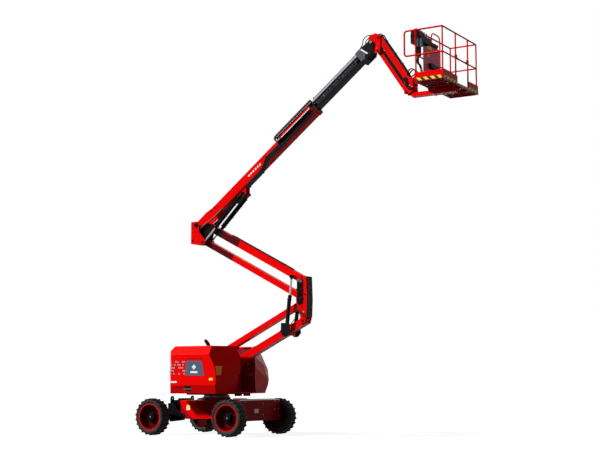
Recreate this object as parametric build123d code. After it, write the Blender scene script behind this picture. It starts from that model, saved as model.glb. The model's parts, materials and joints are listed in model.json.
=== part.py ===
from build123d import *
import math
import os

# An articulating boom lift, in millimetres. X runs towards the side that the boom reaches over,
# Y across the machine, Z up. The machine is laid out about the slew axis, at x = 0, y = 0, with
# the ground at z = 0, and is moved along X at the end, so that its box is centred on the origin.

# Driving dimensions
WHEELBASE = 2153
TRACK = 2083
TYRE_RADIUS = 424
RIM_RADIUS = 300  # bead seat
SPINDLE_RADIUS = 40
KINGPIN_TRACK = 1600

FRAME_WIDTH = 600
FRAME_BOTTOM = 360
FRAME_TOP = 800
SLEW_RADIUS = 295
SLEW_BASE = 860  # top of the deck boss
SLEW_SPLIT = 925  # where the two races meet
TABLE_BOTTOM = 960
TABLE_THICKNESS = 30

HOOD_TOP = 2048
HOOD_SIDE = 1100  # outer face, from the middle plane
HOOD_GAP = 600  # clear width between the two hoods
HOOD_REAR = -635
HOOD_WALL = 22
COVER_GAP = 6  # running gap around a cover
PARTITION = 6

LINK_LENGTH = 2990
LOWER_ANGLE = 26.5  # both lower links, above the horizontal
UPPER_ANGLE = 27.7  # both upper links
LOWER_PIVOT = (-231, 1266)  # turntable pin of the lower arm
LOWER_LINK_SHIFT = (-105, 390)  # from an arm's pin to its parallel link's pin
KNEE_RISE = (-106, 559)  # from the knee's lowest pin to the upper link's pin
UPPER_LINK_SHIFT = (80, 370)  # from the upper link's pin to the upper arm's pin
BOOM_PIVOT_SHIFT = (-196, 415)  # from the upright's lower pin to the boom pivot

BOOM_ANGLE = 38.3
BOOM_TOP, BOOM_BOTTOM = 55, -160  # outer boom, measured square to its pivot's line
BOOM_HALF_WIDTH = 110
BOOM_LENGTH = 4140
BOOM_CLOSED_FROM = 700  # the fork ends and the closed tube starts
INNER_TOP, INNER_BOTTOM = 30, -105
INNER_HALF_WIDTH = 85
INNER_START, INNER_END = BOOM_LENGTH - 1890, BOOM_LENGTH + 1510
HEAD_PIN = (INNER_END + 453, 68)  # along the boom and square to it
TUBE_WALL = 8

JIB_ANGLE = -56
JIB_LENGTH = 1250
ROTATOR_REACH = 162  # from the jib's lower end pin to the axis that the platform turns about
PLATFORM_REACH = 776  # from that axis to the platform's middle
PLATFORM_DROP = 20  # the floor's underside, below the jib's lower end pin
PLATFORM_DEPTH = 681
PLATFORM_WIDTH = 1829
RAIL_HEIGHT = 1157
RAIL_RADIUS = 19

LUG_BORE = 22  # radius of the tie-down lugs' holes

PIN_CLEARANCE = 0.5
SEAT = 0.3  # between a piece and what it lies on or hangs from
RUNNING_GAP = 5  # between a moving piece and its neighbour
EVERYTHING = {}  # node name: shape


# Shape helpers
def spot(start, angle, along, across=0):
    """The XZ point that lies along and across a direction from start."""
    turn = math.radians(angle)
    return (
        start[0] + along * math.cos(turn) - across * math.sin(turn),
        start[1] + along * math.sin(turn) + across * math.cos(turn),
    )


def shifted(point, step):
    return (point[0] + step[0], point[1] + step[1])


def side_frame(start=(0, 0), angle=0):
    """A plane seen from the near side: its x runs along the member, its y square to it."""
    turn = math.radians(angle)
    return Plane(
        origin=(start[0], 0, start[1]),
        x_dir=(math.cos(turn), 0, math.sin(turn)),
        z_dir=(0, -1, 0),
    )


def block(frame, along, across, width):
    """A box from three (low, high) pairs; width is measured along Y."""
    sizes = [high - low for low, high in (along, across, width)]
    corner = (along[0], across[0], -width[1])
    return frame * Pos(*corner) * Box(*sizes, align=(Align.MIN,) * 3)


def disc(frame, centre, radius, width):
    """A cylinder across the machine, between two Y values."""
    low, high = width
    shape = Cylinder(radius, high - low, align=(Align.CENTER, Align.CENTER, Align.MIN))
    return frame * Pos(centre[0], centre[1], -high) * shape


def profile(frame, points, width):
    """An outline in the frame's own coordinates, given its thickness along Y."""
    low, high = width
    face = make_face(Polyline(*[(x, y) for x, y in points], close=True))
    return frame * Pos(0, 0, -high) * extrude(face, amount=high - low, dir=(0, 0, 1))


def both(width):
    """The same width on the two sides of the middle plane."""
    low, high = width
    return ((low, high), (-high, -low))


def bar(start, end, radius):
    start, end = Vector(*start), Vector(*end)
    plane = Plane(origin=start, z_dir=(end - start).normalized())
    return plane * Cylinder(radius, (end - start).length, align=(Align.CENTER, Align.CENTER, Align.MIN))


def piped(points, bend, radius):
    """A round tube along a chain of points, with its corners bent."""
    start, after = Vector(*points[0]), Vector(*points[1])
    section = Plane(origin=start, z_dir=(after - start).normalized()) * Circle(radius)
    return sweep(section, path=FilletPolyline(*points, radius=bend))


def upright_bar(x, y, radius, low, high):
    return bar((x, y, low), (x, y, high), radius)


def slab(x, y, z):
    """A box from three (low, high) pairs in the machine's own axes."""
    sizes = [high - low for low, high in (x, y, z)]
    return Pos(x[0], y[0], z[0]) * Box(*sizes, align=(Align.MIN,) * 3)


def tube(frame, along, across, half_width, wall):
    """A closed box section between two points of its own axis, open at both ends."""
    outside = block(frame, along, across, (-half_width, half_width))
    inside = block(
        frame,
        (along[0] - 1, along[1] + 1),
        (across[0] + wall, across[1] - wall),
        (wall - half_width, half_width - wall),
    )
    return outside - inside


def turned(points, centre, side=1):
    """A solid of revolution about a line along Y, from (radius, y) pairs; side mirrors it."""
    face = make_face(Polyline(*[(r, side * y) for r, y in points], close=True))
    return Pos(*centre) * revolve(face, Axis.Y, 360)


def mirrored(shape):
    return mirror(shape, Plane.XZ)


def keep(node, shape):
    EVERYTHING[node] = shape


# Wheels and steering
WHEEL_Z = TYRE_RADIUS
DISC_Y = -30  # the rim's disc sits inboard of the wheel's middle, so the rim is deep
HUB_REACH = 62
SPINDLE_END = HUB_REACH - RUNNING_GAP

TYRE_SIDES = 22  # flat facets around a tyre, each with two lugs
TREAD_BASE = 402
LUG_HALF = 34  # half of a lug's reach along the rolling direction

half_section = [
    # y, radius
    (105, RIM_RADIUS + 0.2),
    (135, 345),
    (143, 388),
    (126, TREAD_BASE),
]
lug_plan = [
    # along the rolling direction, y: one slanted lug, from the middle to the shoulder
    (-LUG_HALF, 6),
    (0, 6),
    (LUG_HALF, 136),
    (-6, 136),
]


def tyre_facet():
    """One flat wedge of the tyre, below its axis, with a lug on each half of its tread."""
    section = half_section + [(-y, radius) for y, radius in reversed(half_section)]
    face = make_face(Polyline(*[(y, -radius) for y, radius in section], close=True))
    across = Plane(origin=(-TYRE_RADIUS / 4, 0, 0), x_dir=(0, 1, 0), z_dir=(1, 0, 0))
    facet = across * extrude(face, amount=TYRE_RADIUS / 2)
    for side in (-1, 1):
        turn = math.pi / TYRE_SIDES
        plane = Plane(origin=(0, 0, 0), z_dir=(side * math.cos(turn), 0, math.sin(turn)))
        facet = split(facet, bisect_by=plane, keep=Keep.BOTTOM)
    for side in (-1, 1):
        # the two halves lean the same way along the tread, and make arrows
        plan = make_face(Polyline(*[(x, side * y) for x, y in lug_plan], close=True))
        facet += Pos(0, 0, -TYRE_RADIUS) * extrude(plan, amount=TYRE_RADIUS - TREAD_BASE + 12, dir=(0, 0, 1))
    return facet


facet = tyre_facet()
turns = [Rot(0, 360 * i / TYRE_SIDES, 0) for i in range(TYRE_SIDES)]
tyre = facet.fuse(*[turn * facet for turn in turns[1:]])
rim_section = [
    # radius, y, outboard positive
    (SPINDLE_RADIUS + PIN_CLEARANCE, -60),
    (95, -60),
    (95, DISC_Y),
    (282, DISC_Y - 14),
    (282, -130),
    (322, -130),
    (322, -121),
    (RIM_RADIUS, -112),
    (RIM_RADIUS, 112),
    (322, 121),
    (322, 130),
    (282, 130),
    (282, DISC_Y),
    (95, DISC_Y + 14),
    (82, HUB_REACH),
    (70, HUB_REACH + 16),
    (0, HUB_REACH + 16),
    (0, HUB_REACH),
    (SPINDLE_RADIUS + PIN_CLEARANCE, HUB_REACH),
]
wheel_places = {
    # name: x, side
    "steer_near": (-WHEELBASE / 2, -1),
    "steer_far": (-WHEELBASE / 2, 1),
    "drive_near": (WHEELBASE / 2, -1),
    "drive_far": (WHEELBASE / 2, 1),
}
for name, (x, side) in wheel_places.items():
    centre = (x, side * TRACK / 2, WHEEL_Z)
    keep(f"tyre_{name}", Pos(*centre) * tyre)
    keep(f"rim_{name}", turned(rim_section, centre, side))

KINGPIN_Y = KINGPIN_TRACK / 2
STEER_X = -WHEELBASE / 2
KINGPIN_RADIUS = 25
SLEEVE = (345, 535)  # z of the knuckle's sleeve
YOKE_PLATE = 30
ARM_REACH = 170  # from the kingpin to the tie rod's pin, along X
ARM_Z = (470, 486)
TIE_ROD_Z = 502
TIE_ROD_RADIUS = 12
TIE_EYE = 15  # half height of the rod's eyes
AXLE_HALF = 90

for name, side in (("near", -1), ("far", 1)):
    kingpin = (STEER_X, side * KINGPIN_Y)
    sleeve = upright_bar(*kingpin, 50, *SLEEVE)
    spindle_end = side * (TRACK / 2 + SPINDLE_END)
    spindle = bar((*kingpin, WHEEL_Z), (STEER_X, spindle_end, WHEEL_Z), SPINDLE_RADIUS)
    flange = bar((STEER_X, side * 862, WHEEL_Z), (STEER_X, side * 882, WHEEL_Z), 68)
    pin_at = (STEER_X + ARM_REACH, side * KINGPIN_Y)
    arm_face = make_hull(
        (Pos(*kingpin) * Circle(45)).edges() + (Pos(*pin_at) * Circle(26)).edges()
    )
    arm = Pos(0, 0, ARM_Z[0]) * extrude(arm_face, amount=ARM_Z[1] - ARM_Z[0])
    tie_pin = upright_bar(*pin_at, 12, ARM_Z[0], TIE_ROD_Z + TIE_EYE + 3)
    knuckle = sleeve + spindle + flange + arm + tie_pin
    keep(f"knuckle_{name}", knuckle - upright_bar(*kingpin, KINGPIN_RADIUS + PIN_CLEARANCE, 300, 600))

tie_x = STEER_X + ARM_REACH
tie_half = KINGPIN_Y
tie_ends = [(tie_x, side * (tie_half - 20), TIE_ROD_Z) for side in (-1, 1)]
tie_rod = bar(*tie_ends, TIE_ROD_RADIUS)
for side in (-1, 1):
    tie_rod += upright_bar(tie_x, side * tie_half, 28, TIE_ROD_Z - TIE_EYE, TIE_ROD_Z + TIE_EYE)
for side in (-1, 1):
    tie_rod -= upright_bar(tie_x, side * tie_half, 12 + PIN_CLEARANCE, 400, 600)
keep("tie_rod", tie_rod)

YOKE = (STEER_X - 70, STEER_X + 70)
YOKE_Z = (SLEEVE[0] - YOKE_PLATE - 1, SLEEVE[1] + YOKE_PLATE + 1)
axle = slab((STEER_X - AXLE_HALF, STEER_X + AXLE_HALF), (-670, 670), (400, 560))
for side in (-1, 1):
    root, kingpin_y = side * 640, side * KINGPIN_Y
    for low in (YOKE_Z[0], SLEEVE[1] + 1):
        axle += slab(YOKE, sorted((root, kingpin_y)), (low, low + YOKE_PLATE))
        axle += upright_bar(STEER_X, kingpin_y, 70, low, low + YOKE_PLATE)
    axle += slab(YOKE, sorted((root, side * 700)), YOKE_Z)
    axle += upright_bar(STEER_X, kingpin_y, KINGPIN_RADIUS, *YOKE_Z)
keep("steer_axle", axle)

steer_cylinder = bar((STEER_X - 135, -230, 470), (STEER_X - 135, 230, 470), 38)
steer_cylinder += bar((STEER_X - 135, -480, 470), (STEER_X - 135, 480, 470), 18)
steer_cylinder += slab((STEER_X - 140, STEER_X - AXLE_HALF), (-60, 60), (440, 500))
keep("steer_cylinder", steer_cylinder)

# Chassis
FRAME_HALF = FRAME_WIDTH / 2
BEAM_X = (-850, 930)
END_BOX_X = (930, 1215)
END_BOX_HALF = 862
END_BOX_Z = (340, 835)
STEER_BLOCK_X = (STEER_X - AXLE_HALF, BEAM_X[0])
PLATE = 12

def hollow_slab(x, y, z):
    """A box of plates, closed on all sides."""
    inside = [(low + PLATE, high - PLATE) for low, high in (x, y, z)]
    return slab(x, y, z) - slab(*inside)


frame_shape = hollow_slab(BEAM_X, (-FRAME_HALF, FRAME_HALF), (FRAME_BOTTOM, FRAME_TOP))
frame_shape += hollow_slab(STEER_BLOCK_X, (-250, 250), (560, FRAME_TOP))
frame_shape += upright_bar(0, 0, SLEW_RADIUS + 35, FRAME_TOP, SLEW_BASE)

LUG_OUT = 60  # a lug's rounded end, about its bore
STEER_LUG = (-1000, 400, 838)  # x, y and z of the bore, which runs along X
DRIVE_LUG = (END_BOX_X[1] + 62, 700, 440)  # this end's bores run upwards
LUG_PLATE = 24
for side in (-1, 1):
    x, y, z = STEER_LUG
    ends = (x - LUG_PLATE / 2, x + LUG_PLATE / 2)
    y_low, y_high = sorted((side * 250, side * (y + LUG_OUT)))
    frame_shape += slab(ends, (y_low, y_high), (560, 760))
    frame_shape += slab(ends, (side * y - LUG_OUT, side * y + LUG_OUT), (760, z))
    frame_shape += bar((ends[0], side * y, z), (ends[1], side * y, z), LUG_OUT)
    frame_shape -= bar((ends[0] - 1, side * y, z), (ends[1] + 1, side * y, z), LUG_BORE)
keep("chassis_frame", frame_shape)

end_box = hollow_slab(END_BOX_X, (-END_BOX_HALF, END_BOX_HALF), END_BOX_Z)
for side in (-1, 1):
    x, y, z = DRIVE_LUG
    ends = (z - LUG_PLATE / 2, z + LUG_PLATE / 2)
    end_box += slab((END_BOX_X[1], x), (side * y - LUG_OUT, side * y + LUG_OUT), ends)
    end_box += upright_bar(x, side * y, LUG_OUT, *ends)
    end_box -= upright_bar(x, side * y, LUG_BORE, ends[0] - 1, ends[1] + 1)
    hub = (WHEELBASE / 2, side * END_BOX_HALF, WHEEL_Z)
    end_box += bar(hub, (WHEELBASE / 2, side * 925, WHEEL_Z), 120)
    end_box += bar(hub, (WHEELBASE / 2, side * (TRACK / 2 + SPINDLE_END), WHEEL_Z), SPINDLE_RADIUS)
keep("drive_end_box", end_box)

wing = [
    # x, z
    (-590, 790),
    (-450, 800),
    (365, 384),
    (-240, 375),
    (-530, 601),
]
WING_OUT = 610
for name, side in (("near", -1), ("far", 1)):
    outside = sorted((side * FRAME_HALF, side * WING_OUT))
    inside = sorted((side * FRAME_HALF, side * (WING_OUT - PLATE)))
    outline = make_face(Polyline(*wing, close=True))
    hollow = offset(outline, amount=-PLATE, kind=Kind.INTERSECTION)
    shape = Pos(0, 0, -outside[1]) * extrude(outline, amount=outside[1] - outside[0], dir=(0, 0, 1))
    core = Pos(0, 0, -inside[1]) * extrude(hollow, amount=inside[1] - inside[0], dir=(0, 0, 1))
    keep(f"chassis_wing_{name}", side_frame() * (shape - core))

ring = upright_bar(0, 0, SLEW_RADIUS, SLEW_BASE, SLEW_SPLIT)
keep("slew_ring", ring - upright_bar(0, 0, 200, SLEW_BASE - 1, SLEW_SPLIT + 1))

# Links' pins, worked out once
arm_start = LOWER_PIVOT
link_start = shifted(LOWER_PIVOT, LOWER_LINK_SHIFT)
knee_low = spot(arm_start, LOWER_ANGLE, LINK_LENGTH)
knee_low_link = spot(link_start, LOWER_ANGLE, LINK_LENGTH)
knee_up_link = shifted(knee_low, KNEE_RISE)
knee_up = shifted(knee_up_link, UPPER_LINK_SHIFT)
upright_low = spot(knee_up_link, 180 - UPPER_ANGLE, LINK_LENGTH)
upright_up = spot(knee_up, 180 - UPPER_ANGLE, LINK_LENGTH)
boom_pivot = shifted(upright_low, BOOM_PIVOT_SHIFT)

PIN = 24  # radius of every riser pin
CHEEK_IN, CHEEK_OUT = 118, 132  # turntable cheeks and knee plates, from the middle plane
PIN_END = 140

links = {
    # node: start pin, angle, height, half width
    "lower_arm": (arm_start, LOWER_ANGLE, 160, 100),
    "lower_link": (link_start, LOWER_ANGLE, 130, 80),
    "upper_arm": (upright_up, -UPPER_ANGLE, 170, 80),
    "upper_link": (upright_low, -UPPER_ANGLE, 140, 80),
}


def link(start, angle, height, half_width):
    """A box-section link with a rounded, bored end at each pin."""
    frame = side_frame(start, angle)
    section = (-height / 2, height / 2)
    shape = tube(frame, (0, LINK_LENGTH), section, half_width, TUBE_WALL)
    for s in (0, LINK_LENGTH):
        shape += disc(frame, (s, 0), height / 2, (-half_width, half_width))
    for s in (0, LINK_LENGTH):
        shape -= disc(frame, (s, 0), PIN + PIN_CLEARANCE, (-half_width - 1, half_width + 1))
    return shape


LINK_SHAPES = {node: link(*values) for node, values in links.items()}

# Turntable
level = side_frame()  # machine axes, seen from the near side
TABLE_TOP = TABLE_BOTTOM + TABLE_THICKNESS
table = slab((HOOD_REAR + 10, 900), (-300, 300), (TABLE_BOTTOM, TABLE_TOP))
table += slab((HOOD_REAR + 90, 600), (-900, 900), (TABLE_BOTTOM, TABLE_TOP))
table += upright_bar(0, 0, SLEW_RADIUS - 25, SLEW_SPLIT, TABLE_BOTTOM)
cheek = [
    # x, z
    (-415, TABLE_TOP),
    (80, TABLE_TOP),
    (40, 1150),
    (-160, 1310),
    (-270, 1720),
    (-400, 1720),
    (-415, 1690),
]
for width in both((CHEEK_IN, CHEEK_OUT)):
    table += profile(level, cheek, width)
for pin in (arm_start, link_start):
    table += disc(level, pin, PIN, (-PIN_END, PIN_END))
keep("turntable_frame", table)

partition_outline = [
    # x, z: the dark wall beside the gap, one on each side
    (HOOD_REAR + 30, TABLE_TOP),
    (900, TABLE_TOP),
    (850, 1800),
    (720, HOOD_TOP - 50),
    (HOOD_REAR + 110, HOOD_TOP - 50),
    (HOOD_REAR + 40, 1850),
]
HINGE_Z = HOOD_TOP - 34
HINGE_Y = HOOD_GAP / 2 + 24
HINGE_STARTS = (HOOD_REAR + 200, 420)  # where each hinge knuckle begins, along X
KNUCKLE = 120
HINGE_PIN = 8
HINGE_LUG = 6
lug_outline = [
    # y, z about the hinge line
    (-26, -18),
    (-8, -8),
    (8, -8),
    (-10, -40),
    (-26, -40),
]
partition = profile(level, partition_outline, (HOOD_GAP / 2 - PARTITION, HOOD_GAP / 2))
for start in HINGE_STARTS:
    low, high = start - 2 - HINGE_LUG, start + KNUCKLE + 2
    partition += bar((low, HINGE_Y, HINGE_Z), (high + HINGE_LUG, HINGE_Y, HINGE_Z), HINGE_PIN)
    for x in (low, high):
        outline = make_face(Polyline(*[(HINGE_Y + y, HINGE_Z + z) for y, z in lug_outline], close=True))
        across = Plane(origin=(x, 0, 0), x_dir=(0, 1, 0), z_dir=(1, 0, 0))
        partition += across * extrude(outline, amount=HINGE_LUG)
        partition += bar((x, HINGE_Y, HINGE_Z), (x + HINGE_LUG, HINGE_Y, HINGE_Z), HINGE_PIN + 3)
keep("partition_far", partition)
keep("partition_near", mirrored(partition))

between = (-HOOD_GAP / 2 + PARTITION, HOOD_GAP / 2 - PARTITION)
keep("counterweight", slab((HOOD_REAR + 40, -425), between, (TABLE_TOP, 1480)))
for name, sign in (("near", -1), ("far", 1)):
    y = sorted((sign * (HOOD_GAP / 2 + 10), sign * 880))
    keep(f"side_weight_{name}", slab((HOOD_REAR + 95, -330), y, (TABLE_TOP, 1500)))
keep("engine", slab((-200, 350), (HOOD_GAP / 2 + 60, 820), (TABLE_TOP, 1500)))
keep("hydraulic_tank", slab((-200, 350), (-800, -HOOD_GAP / 2 - 60), (TABLE_TOP, 1450)))

EXHAUST_Y = -252
exhaust_line = [
    # x, z: up beside the partition, then leaning back over the hood
    (-46, TABLE_TOP),
    (-46, 2068),
    (-168, 2206),
]
EXHAUST_RADIUS, EXHAUST_WALL, EXHAUST_BEND = 31, 4, 70
pipe_line = [(x, EXHAUST_Y, z) for x, z in exhaust_line]
(knee_x, knee_z), (tip_x, tip_z) = exhaust_line[1:]
past_tip = (tip_x + (tip_x - knee_x) / 20, EXHAUST_Y, tip_z + (tip_z - knee_z) / 20)
bore_line = [(knee_x, EXHAUST_Y, 1400), pipe_line[1], past_tip]
exhaust = piped(pipe_line, EXHAUST_BEND, EXHAUST_RADIUS)
keep("exhaust", exhaust - piped(bore_line, EXHAUST_BEND, EXHAUST_RADIUS - EXHAUST_WALL))

# Hood covers
cover_facets = [
    # a point on the facet (x, y, z), the way it faces
    ((961, 300, 996), (0.970, 0.214, 0.118)),
    ((858, 300, 1843), (0.840, 0.319, 0.441)),
    ((0, 1100, 1850), (0, 0.77, 0.64)),
    ((-632, 300, 1867), (-0.86, 0, 0.50)),
    ((-630, 300, 1132), (-0.957, 0, -0.289)),
    ((0, 1100, 1150), (0, 0.93, -0.37)),
    ((-632, 980, 1500), (-0.72, 0.69, 0)),
    ((751, 1100, 1269), (0.97, 0.1, -0.20)),
]


def faceted(inset):
    """The cover's cut block, with every face moved in by inset."""
    y = (HOOD_GAP / 2 - 400, HOOD_SIDE - inset)
    shape = slab((HOOD_REAR + inset, 1000), y, (TABLE_BOTTOM - 50, HOOD_TOP - inset))
    for point, facing in cover_facets:
        normal = Vector(*facing).normalized()
        plane = Plane(origin=Vector(*point) - normal * inset, z_dir=normal)
        shape = split(shape, bisect_by=plane, keep=Keep.BOTTOM)
    return shape


outer = faceted(0)
shell = outer - faceted(HOOD_WALL)
shell &= slab((-1000, 1200), (HOOD_GAP / 2 + COVER_GAP, 1300), (TABLE_BOTTOM, 2300))
for start in HINGE_STARTS:
    shell += bar((start, HINGE_Y, HINGE_Z), (start + KNUCKLE, HINGE_Y, HINGE_Z), HINGE_PIN + 6)
    shell -= bar((start - 1, HINGE_Y, HINGE_Z), (start + KNUCKLE + 1, HINGE_Y, HINGE_Z), HINGE_PIN + SEAT)
keep("cover_far", shell)
keep("cover_near", mirrored(shell))

# Riser
BARREL_Y = 190  # riser cylinders, from the middle plane
BARREL_RADIUS, ROD_RADIUS = 40, 25
EYE_HALF = 30
BASE_ALONG, BASE_ACROSS = 2521, -72  # the cylinders' base pin, in the lower arm's own frame
EYE_BACK, EYE_ACROSS = 240, -36  # the rods' upper eye, back from the knee pin, in the upper arm's frame

lower_frame = side_frame(arm_start, LOWER_ANGLE)
lower_arm = LINK_SHAPES["lower_arm"]
lower_arm += disc(lower_frame, (BASE_ALONG, BASE_ACROSS), 55, (-PIN_END, PIN_END))
lower_arm -= disc(lower_frame, (BASE_ALONG, BASE_ACROSS), 30 + PIN_CLEARANCE, (-PIN_END - 1, PIN_END + 1))
keep("lower_arm", lower_arm)
keep("lower_link", LINK_SHAPES["lower_link"])

upper_frame = side_frame(upright_up, -UPPER_ANGLE)
upper_arm = LINK_SHAPES["upper_arm"]
eye_along = LINK_LENGTH - EYE_BACK
inner_y = BARREL_Y - EYE_HALF - RUNNING_GAP
upper_arm += disc(upper_frame, (eye_along, EYE_ACROSS), 45, (-inner_y, inner_y))
keep("upper_arm", upper_arm)
keep("upper_link", LINK_SHAPES["upper_link"])

knee_plate = [
    # x, z, about the knee's lowest pin
    (-175, 420),
    (-175, 640),
    (-110, 1010),
    (90, 1010),
    (110, 500),
    (95, 90),
    (52, -60),
    (-50, -60),
    (-60, 60),
]
knee = None
for width in both((CHEEK_IN, CHEEK_OUT)):
    plate_shape = profile(level, [shifted(knee_low, p) for p in knee_plate], width)
    knee = plate_shape if knee is None else knee + plate_shape
web = [(90, 1010), (110, 500), (95, 90), (83, 90), (98, 500), (78, 1010)]
knee += profile(level, [shifted(knee_low, p) for p in web], (-CHEEK_OUT, CHEEK_OUT))
for pin in (knee_low, knee_low_link, knee_up_link, knee_up):
    knee += disc(level, pin, PIN, (-PIN_END, PIN_END))
keep("knee", knee)

riser_base = spot(arm_start, LOWER_ANGLE, BASE_ALONG, BASE_ACROSS)
riser_eye = spot(upright_up, -UPPER_ANGLE, eye_along, EYE_ACROSS)


def heading(start, end):
    """Angle and length of the line between two XZ points."""
    step = (end[0] - start[0], end[1] - start[1])
    return math.degrees(math.atan2(step[1], step[0])), math.hypot(*step)


riser_angle, riser_length = heading(riser_base, riser_eye)
RISER_BARREL = 860


def cylinder_pair(start, end, y, barrel_length, barrel_radius, rod_radius, pin_radius, rod_length):
    """Two barrels on one cross pin at start, and the rods that run to end, as three shapes."""
    angle, length = heading(start, end)
    frame = side_frame(start, angle)
    barrels = disc(frame, (0, 0), pin_radius, (-y, y))
    rods = []
    for sign in (-1, 1):
        mid = sign * y
        barrel = disc(frame, (0, 0), barrel_radius + 6, (mid - EYE_HALF, mid + EYE_HALF))
        axis_start = frame.from_local_coords((barrel_radius, 0, -mid))
        axis_end = frame.from_local_coords((barrel_length, 0, -mid))
        barrel += bar(axis_start, axis_end, barrel_radius)
        bore_start = frame.from_local_coords((barrel_radius + 60, 0, -mid))
        bore_end = frame.from_local_coords((barrel_length + 1, 0, -mid))
        barrel -= bar(bore_start, bore_end, rod_radius + 0.3)
        barrels += barrel
        rod_start = frame.from_local_coords((length - rod_length, 0, -mid))
        rod_end = frame.from_local_coords((length, 0, -mid))
        rod = bar(rod_start, rod_end, rod_radius)
        rod += disc(frame, (length, 0), rod_radius + 20, (mid - EYE_HALF, mid + EYE_HALF))
        rods.append(rod)
    return barrels, rods


riser_sizes = (RISER_BARREL, BARREL_RADIUS, ROD_RADIUS, 30, 840)
barrels, rods = cylinder_pair(riser_base, riser_eye, BARREL_Y, *riser_sizes)
keep("riser_barrels", barrels)
keep("riser_rod_near", rods[0])
keep("riser_rod_far", rods[1])

# Upright
UPRIGHT_IN, UPRIGHT_OUT = 180, 194
INNER_PLATE = (84, 94)
red_plate = [
    # x, z, about the upright's lower pin
    (-345, 497),
    (-138, 496),
    (-105, 240),
    (73, 37),
    (45, -70),
    (-339, -36),
]
black_plate = [
    (-332, -36),
    (-332, 330),
    (-192, 330),
    (-52, 440),
    (108, 460),
    (168, 400),
    (158, 310),
    (73, 0),
    (18, -70),
]
upright = slab(
    (upright_low[0] - 345, upright_low[0] - 331),
    (-UPRIGHT_OUT, UPRIGHT_OUT),
    (upright_low[1] - 36, upright_low[1] + 497),
)
for width in both((UPRIGHT_IN, UPRIGHT_OUT)):
    upright += profile(level, [shifted(upright_low, p) for p in red_plate], width)
for width in both(INNER_PLATE):
    upright += profile(level, [shifted(upright_low, p) for p in black_plate], width)
upright += slab(
    (upright_low[0] - 432, upright_low[0] - 340), (-50, 50), (upright_low[1] + 257, upright_low[1] + 347)
)
foot_x, foot_z = (upright_low[0] - 340, upright_low[0] - 120), (upright_low[1] - 36, upright_low[1] - 22)
upright += slab(foot_x, (-UPRIGHT_OUT, UPRIGHT_OUT), foot_z)
upright += disc(level, upright_low, PIN, (-102, 102))
# the upper pin ends flush, as the boom's fork passes it
upright += disc(level, upright_up, PIN, (-INNER_PLATE[1], INNER_PLATE[1]))
upright += disc(level, boom_pivot, PIN, (-UPRIGHT_OUT - 8, UPRIGHT_OUT + 8))
keep("upright", upright)

# Boom
boom_frame = side_frame(boom_pivot, BOOM_ANGLE)
FORK = (99, 110)
fork_plate = [
    # along, across
    (-60, -60),
    (-70, 20),
    (-20, 78),
    (355, 90),
    (560, BOOM_TOP),
    (BOOM_CLOSED_FROM + 60, BOOM_TOP),
    (BOOM_CLOSED_FROM + 60, BOOM_BOTTOM),
    (418, BOOM_BOTTOM),
    (20, -105),
]
boom = tube(boom_frame, (BOOM_CLOSED_FROM, BOOM_LENGTH), (BOOM_BOTTOM, BOOM_TOP), BOOM_HALF_WIDTH, TUBE_WALL)
for width in both(FORK):
    boom += profile(boom_frame, fork_plate, width)
boom += disc(boom_frame, (0, 0), 50, (-FORK[1], FORK[1]))
boom += block(boom_frame, (430, BOOM_CLOSED_FROM + 20), (BOOM_TOP - 12, BOOM_TOP), (-FORK[1], FORK[1]))
collar_y = (-BOOM_HALF_WIDTH - 10, BOOM_HALF_WIDTH + 10)
collar = block(boom_frame, (BOOM_LENGTH - 100, BOOM_LENGTH), (BOOM_BOTTOM - 10, BOOM_TOP + 10), collar_y)
opening = block(
    boom_frame,
    (BOOM_LENGTH - 101, BOOM_LENGTH + 1),
    (INNER_BOTTOM - 0.5, INNER_TOP + 0.5),
    (-INNER_HALF_WIDTH - 0.5, INNER_HALF_WIDTH + 0.5),
)
boom += collar - opening
LIFT_ALONG, LIFT_ACROSS = 1436, -275  # the lift cylinders' pin under the boom
LIFT_Y = 135
lug = [
    (LIFT_ALONG - 130, BOOM_BOTTOM + 4),
    (LIFT_ALONG - 60, LIFT_ACROSS - 40),
    (LIFT_ALONG + 50, LIFT_ACROSS - 40),
    (LIFT_ALONG + 170, BOOM_BOTTOM + 4),
]
for width in both((60, 84)):
    boom += profile(boom_frame, lug, width)
boom -= disc(boom_frame, (0, 0), PIN + PIN_CLEARANCE, (-FORK[1] - 1, FORK[1] + 1))
boom -= disc(boom_frame, (LIFT_ALONG, LIFT_ACROSS), 24 + PIN_CLEARANCE, (-100, 100))
keep("boom_outer", boom)

lift_pin = spot(boom_pivot, BOOM_ANGLE, LIFT_ALONG, LIFT_ACROSS)
lift_base = upright_low
LIFT_BARREL = 1090
barrels, rods = cylinder_pair(lift_pin, lift_base, LIFT_Y, *(LIFT_BARREL, 35, 22, 24, 1010))
keep("lift_barrels", barrels)
keep("lift_rod_near", rods[0])
keep("lift_rod_far", rods[1])

inner = tube(boom_frame, (INNER_START, INNER_END + 60), (INNER_BOTTOM, INNER_TOP), INNER_HALF_WIDTH, 7)
NOSE = (INNER_END, INNER_END + 140)  # past it only the two ears reach on, so that the head can swing
EAR_END = INNER_END + 280
NOSE_HALF = 140
NOSE_ACROSS = (-150, 155)
nose_y, bore_y = (-NOSE_HALF, NOSE_HALF), (7 - INNER_HALF_WIDTH, INNER_HALF_WIDTH - 7)
inner += block(boom_frame, NOSE, NOSE_ACROSS, nose_y) - block(
    boom_frame, (NOSE[0] - 1, NOSE[1] + 1), (-138, 143), (12 - NOSE_HALF, NOSE_HALF - 12)
)
nose_wall = block(boom_frame, (NOSE[0], NOSE[0] + 12), NOSE_ACROSS, nose_y)
inner_bore = (INNER_BOTTOM + 7, INNER_TOP - 7)
inner += nose_wall - block(boom_frame, (NOSE[0] - 1, NOSE[0] + 13), inner_bore, bore_y)
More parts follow.
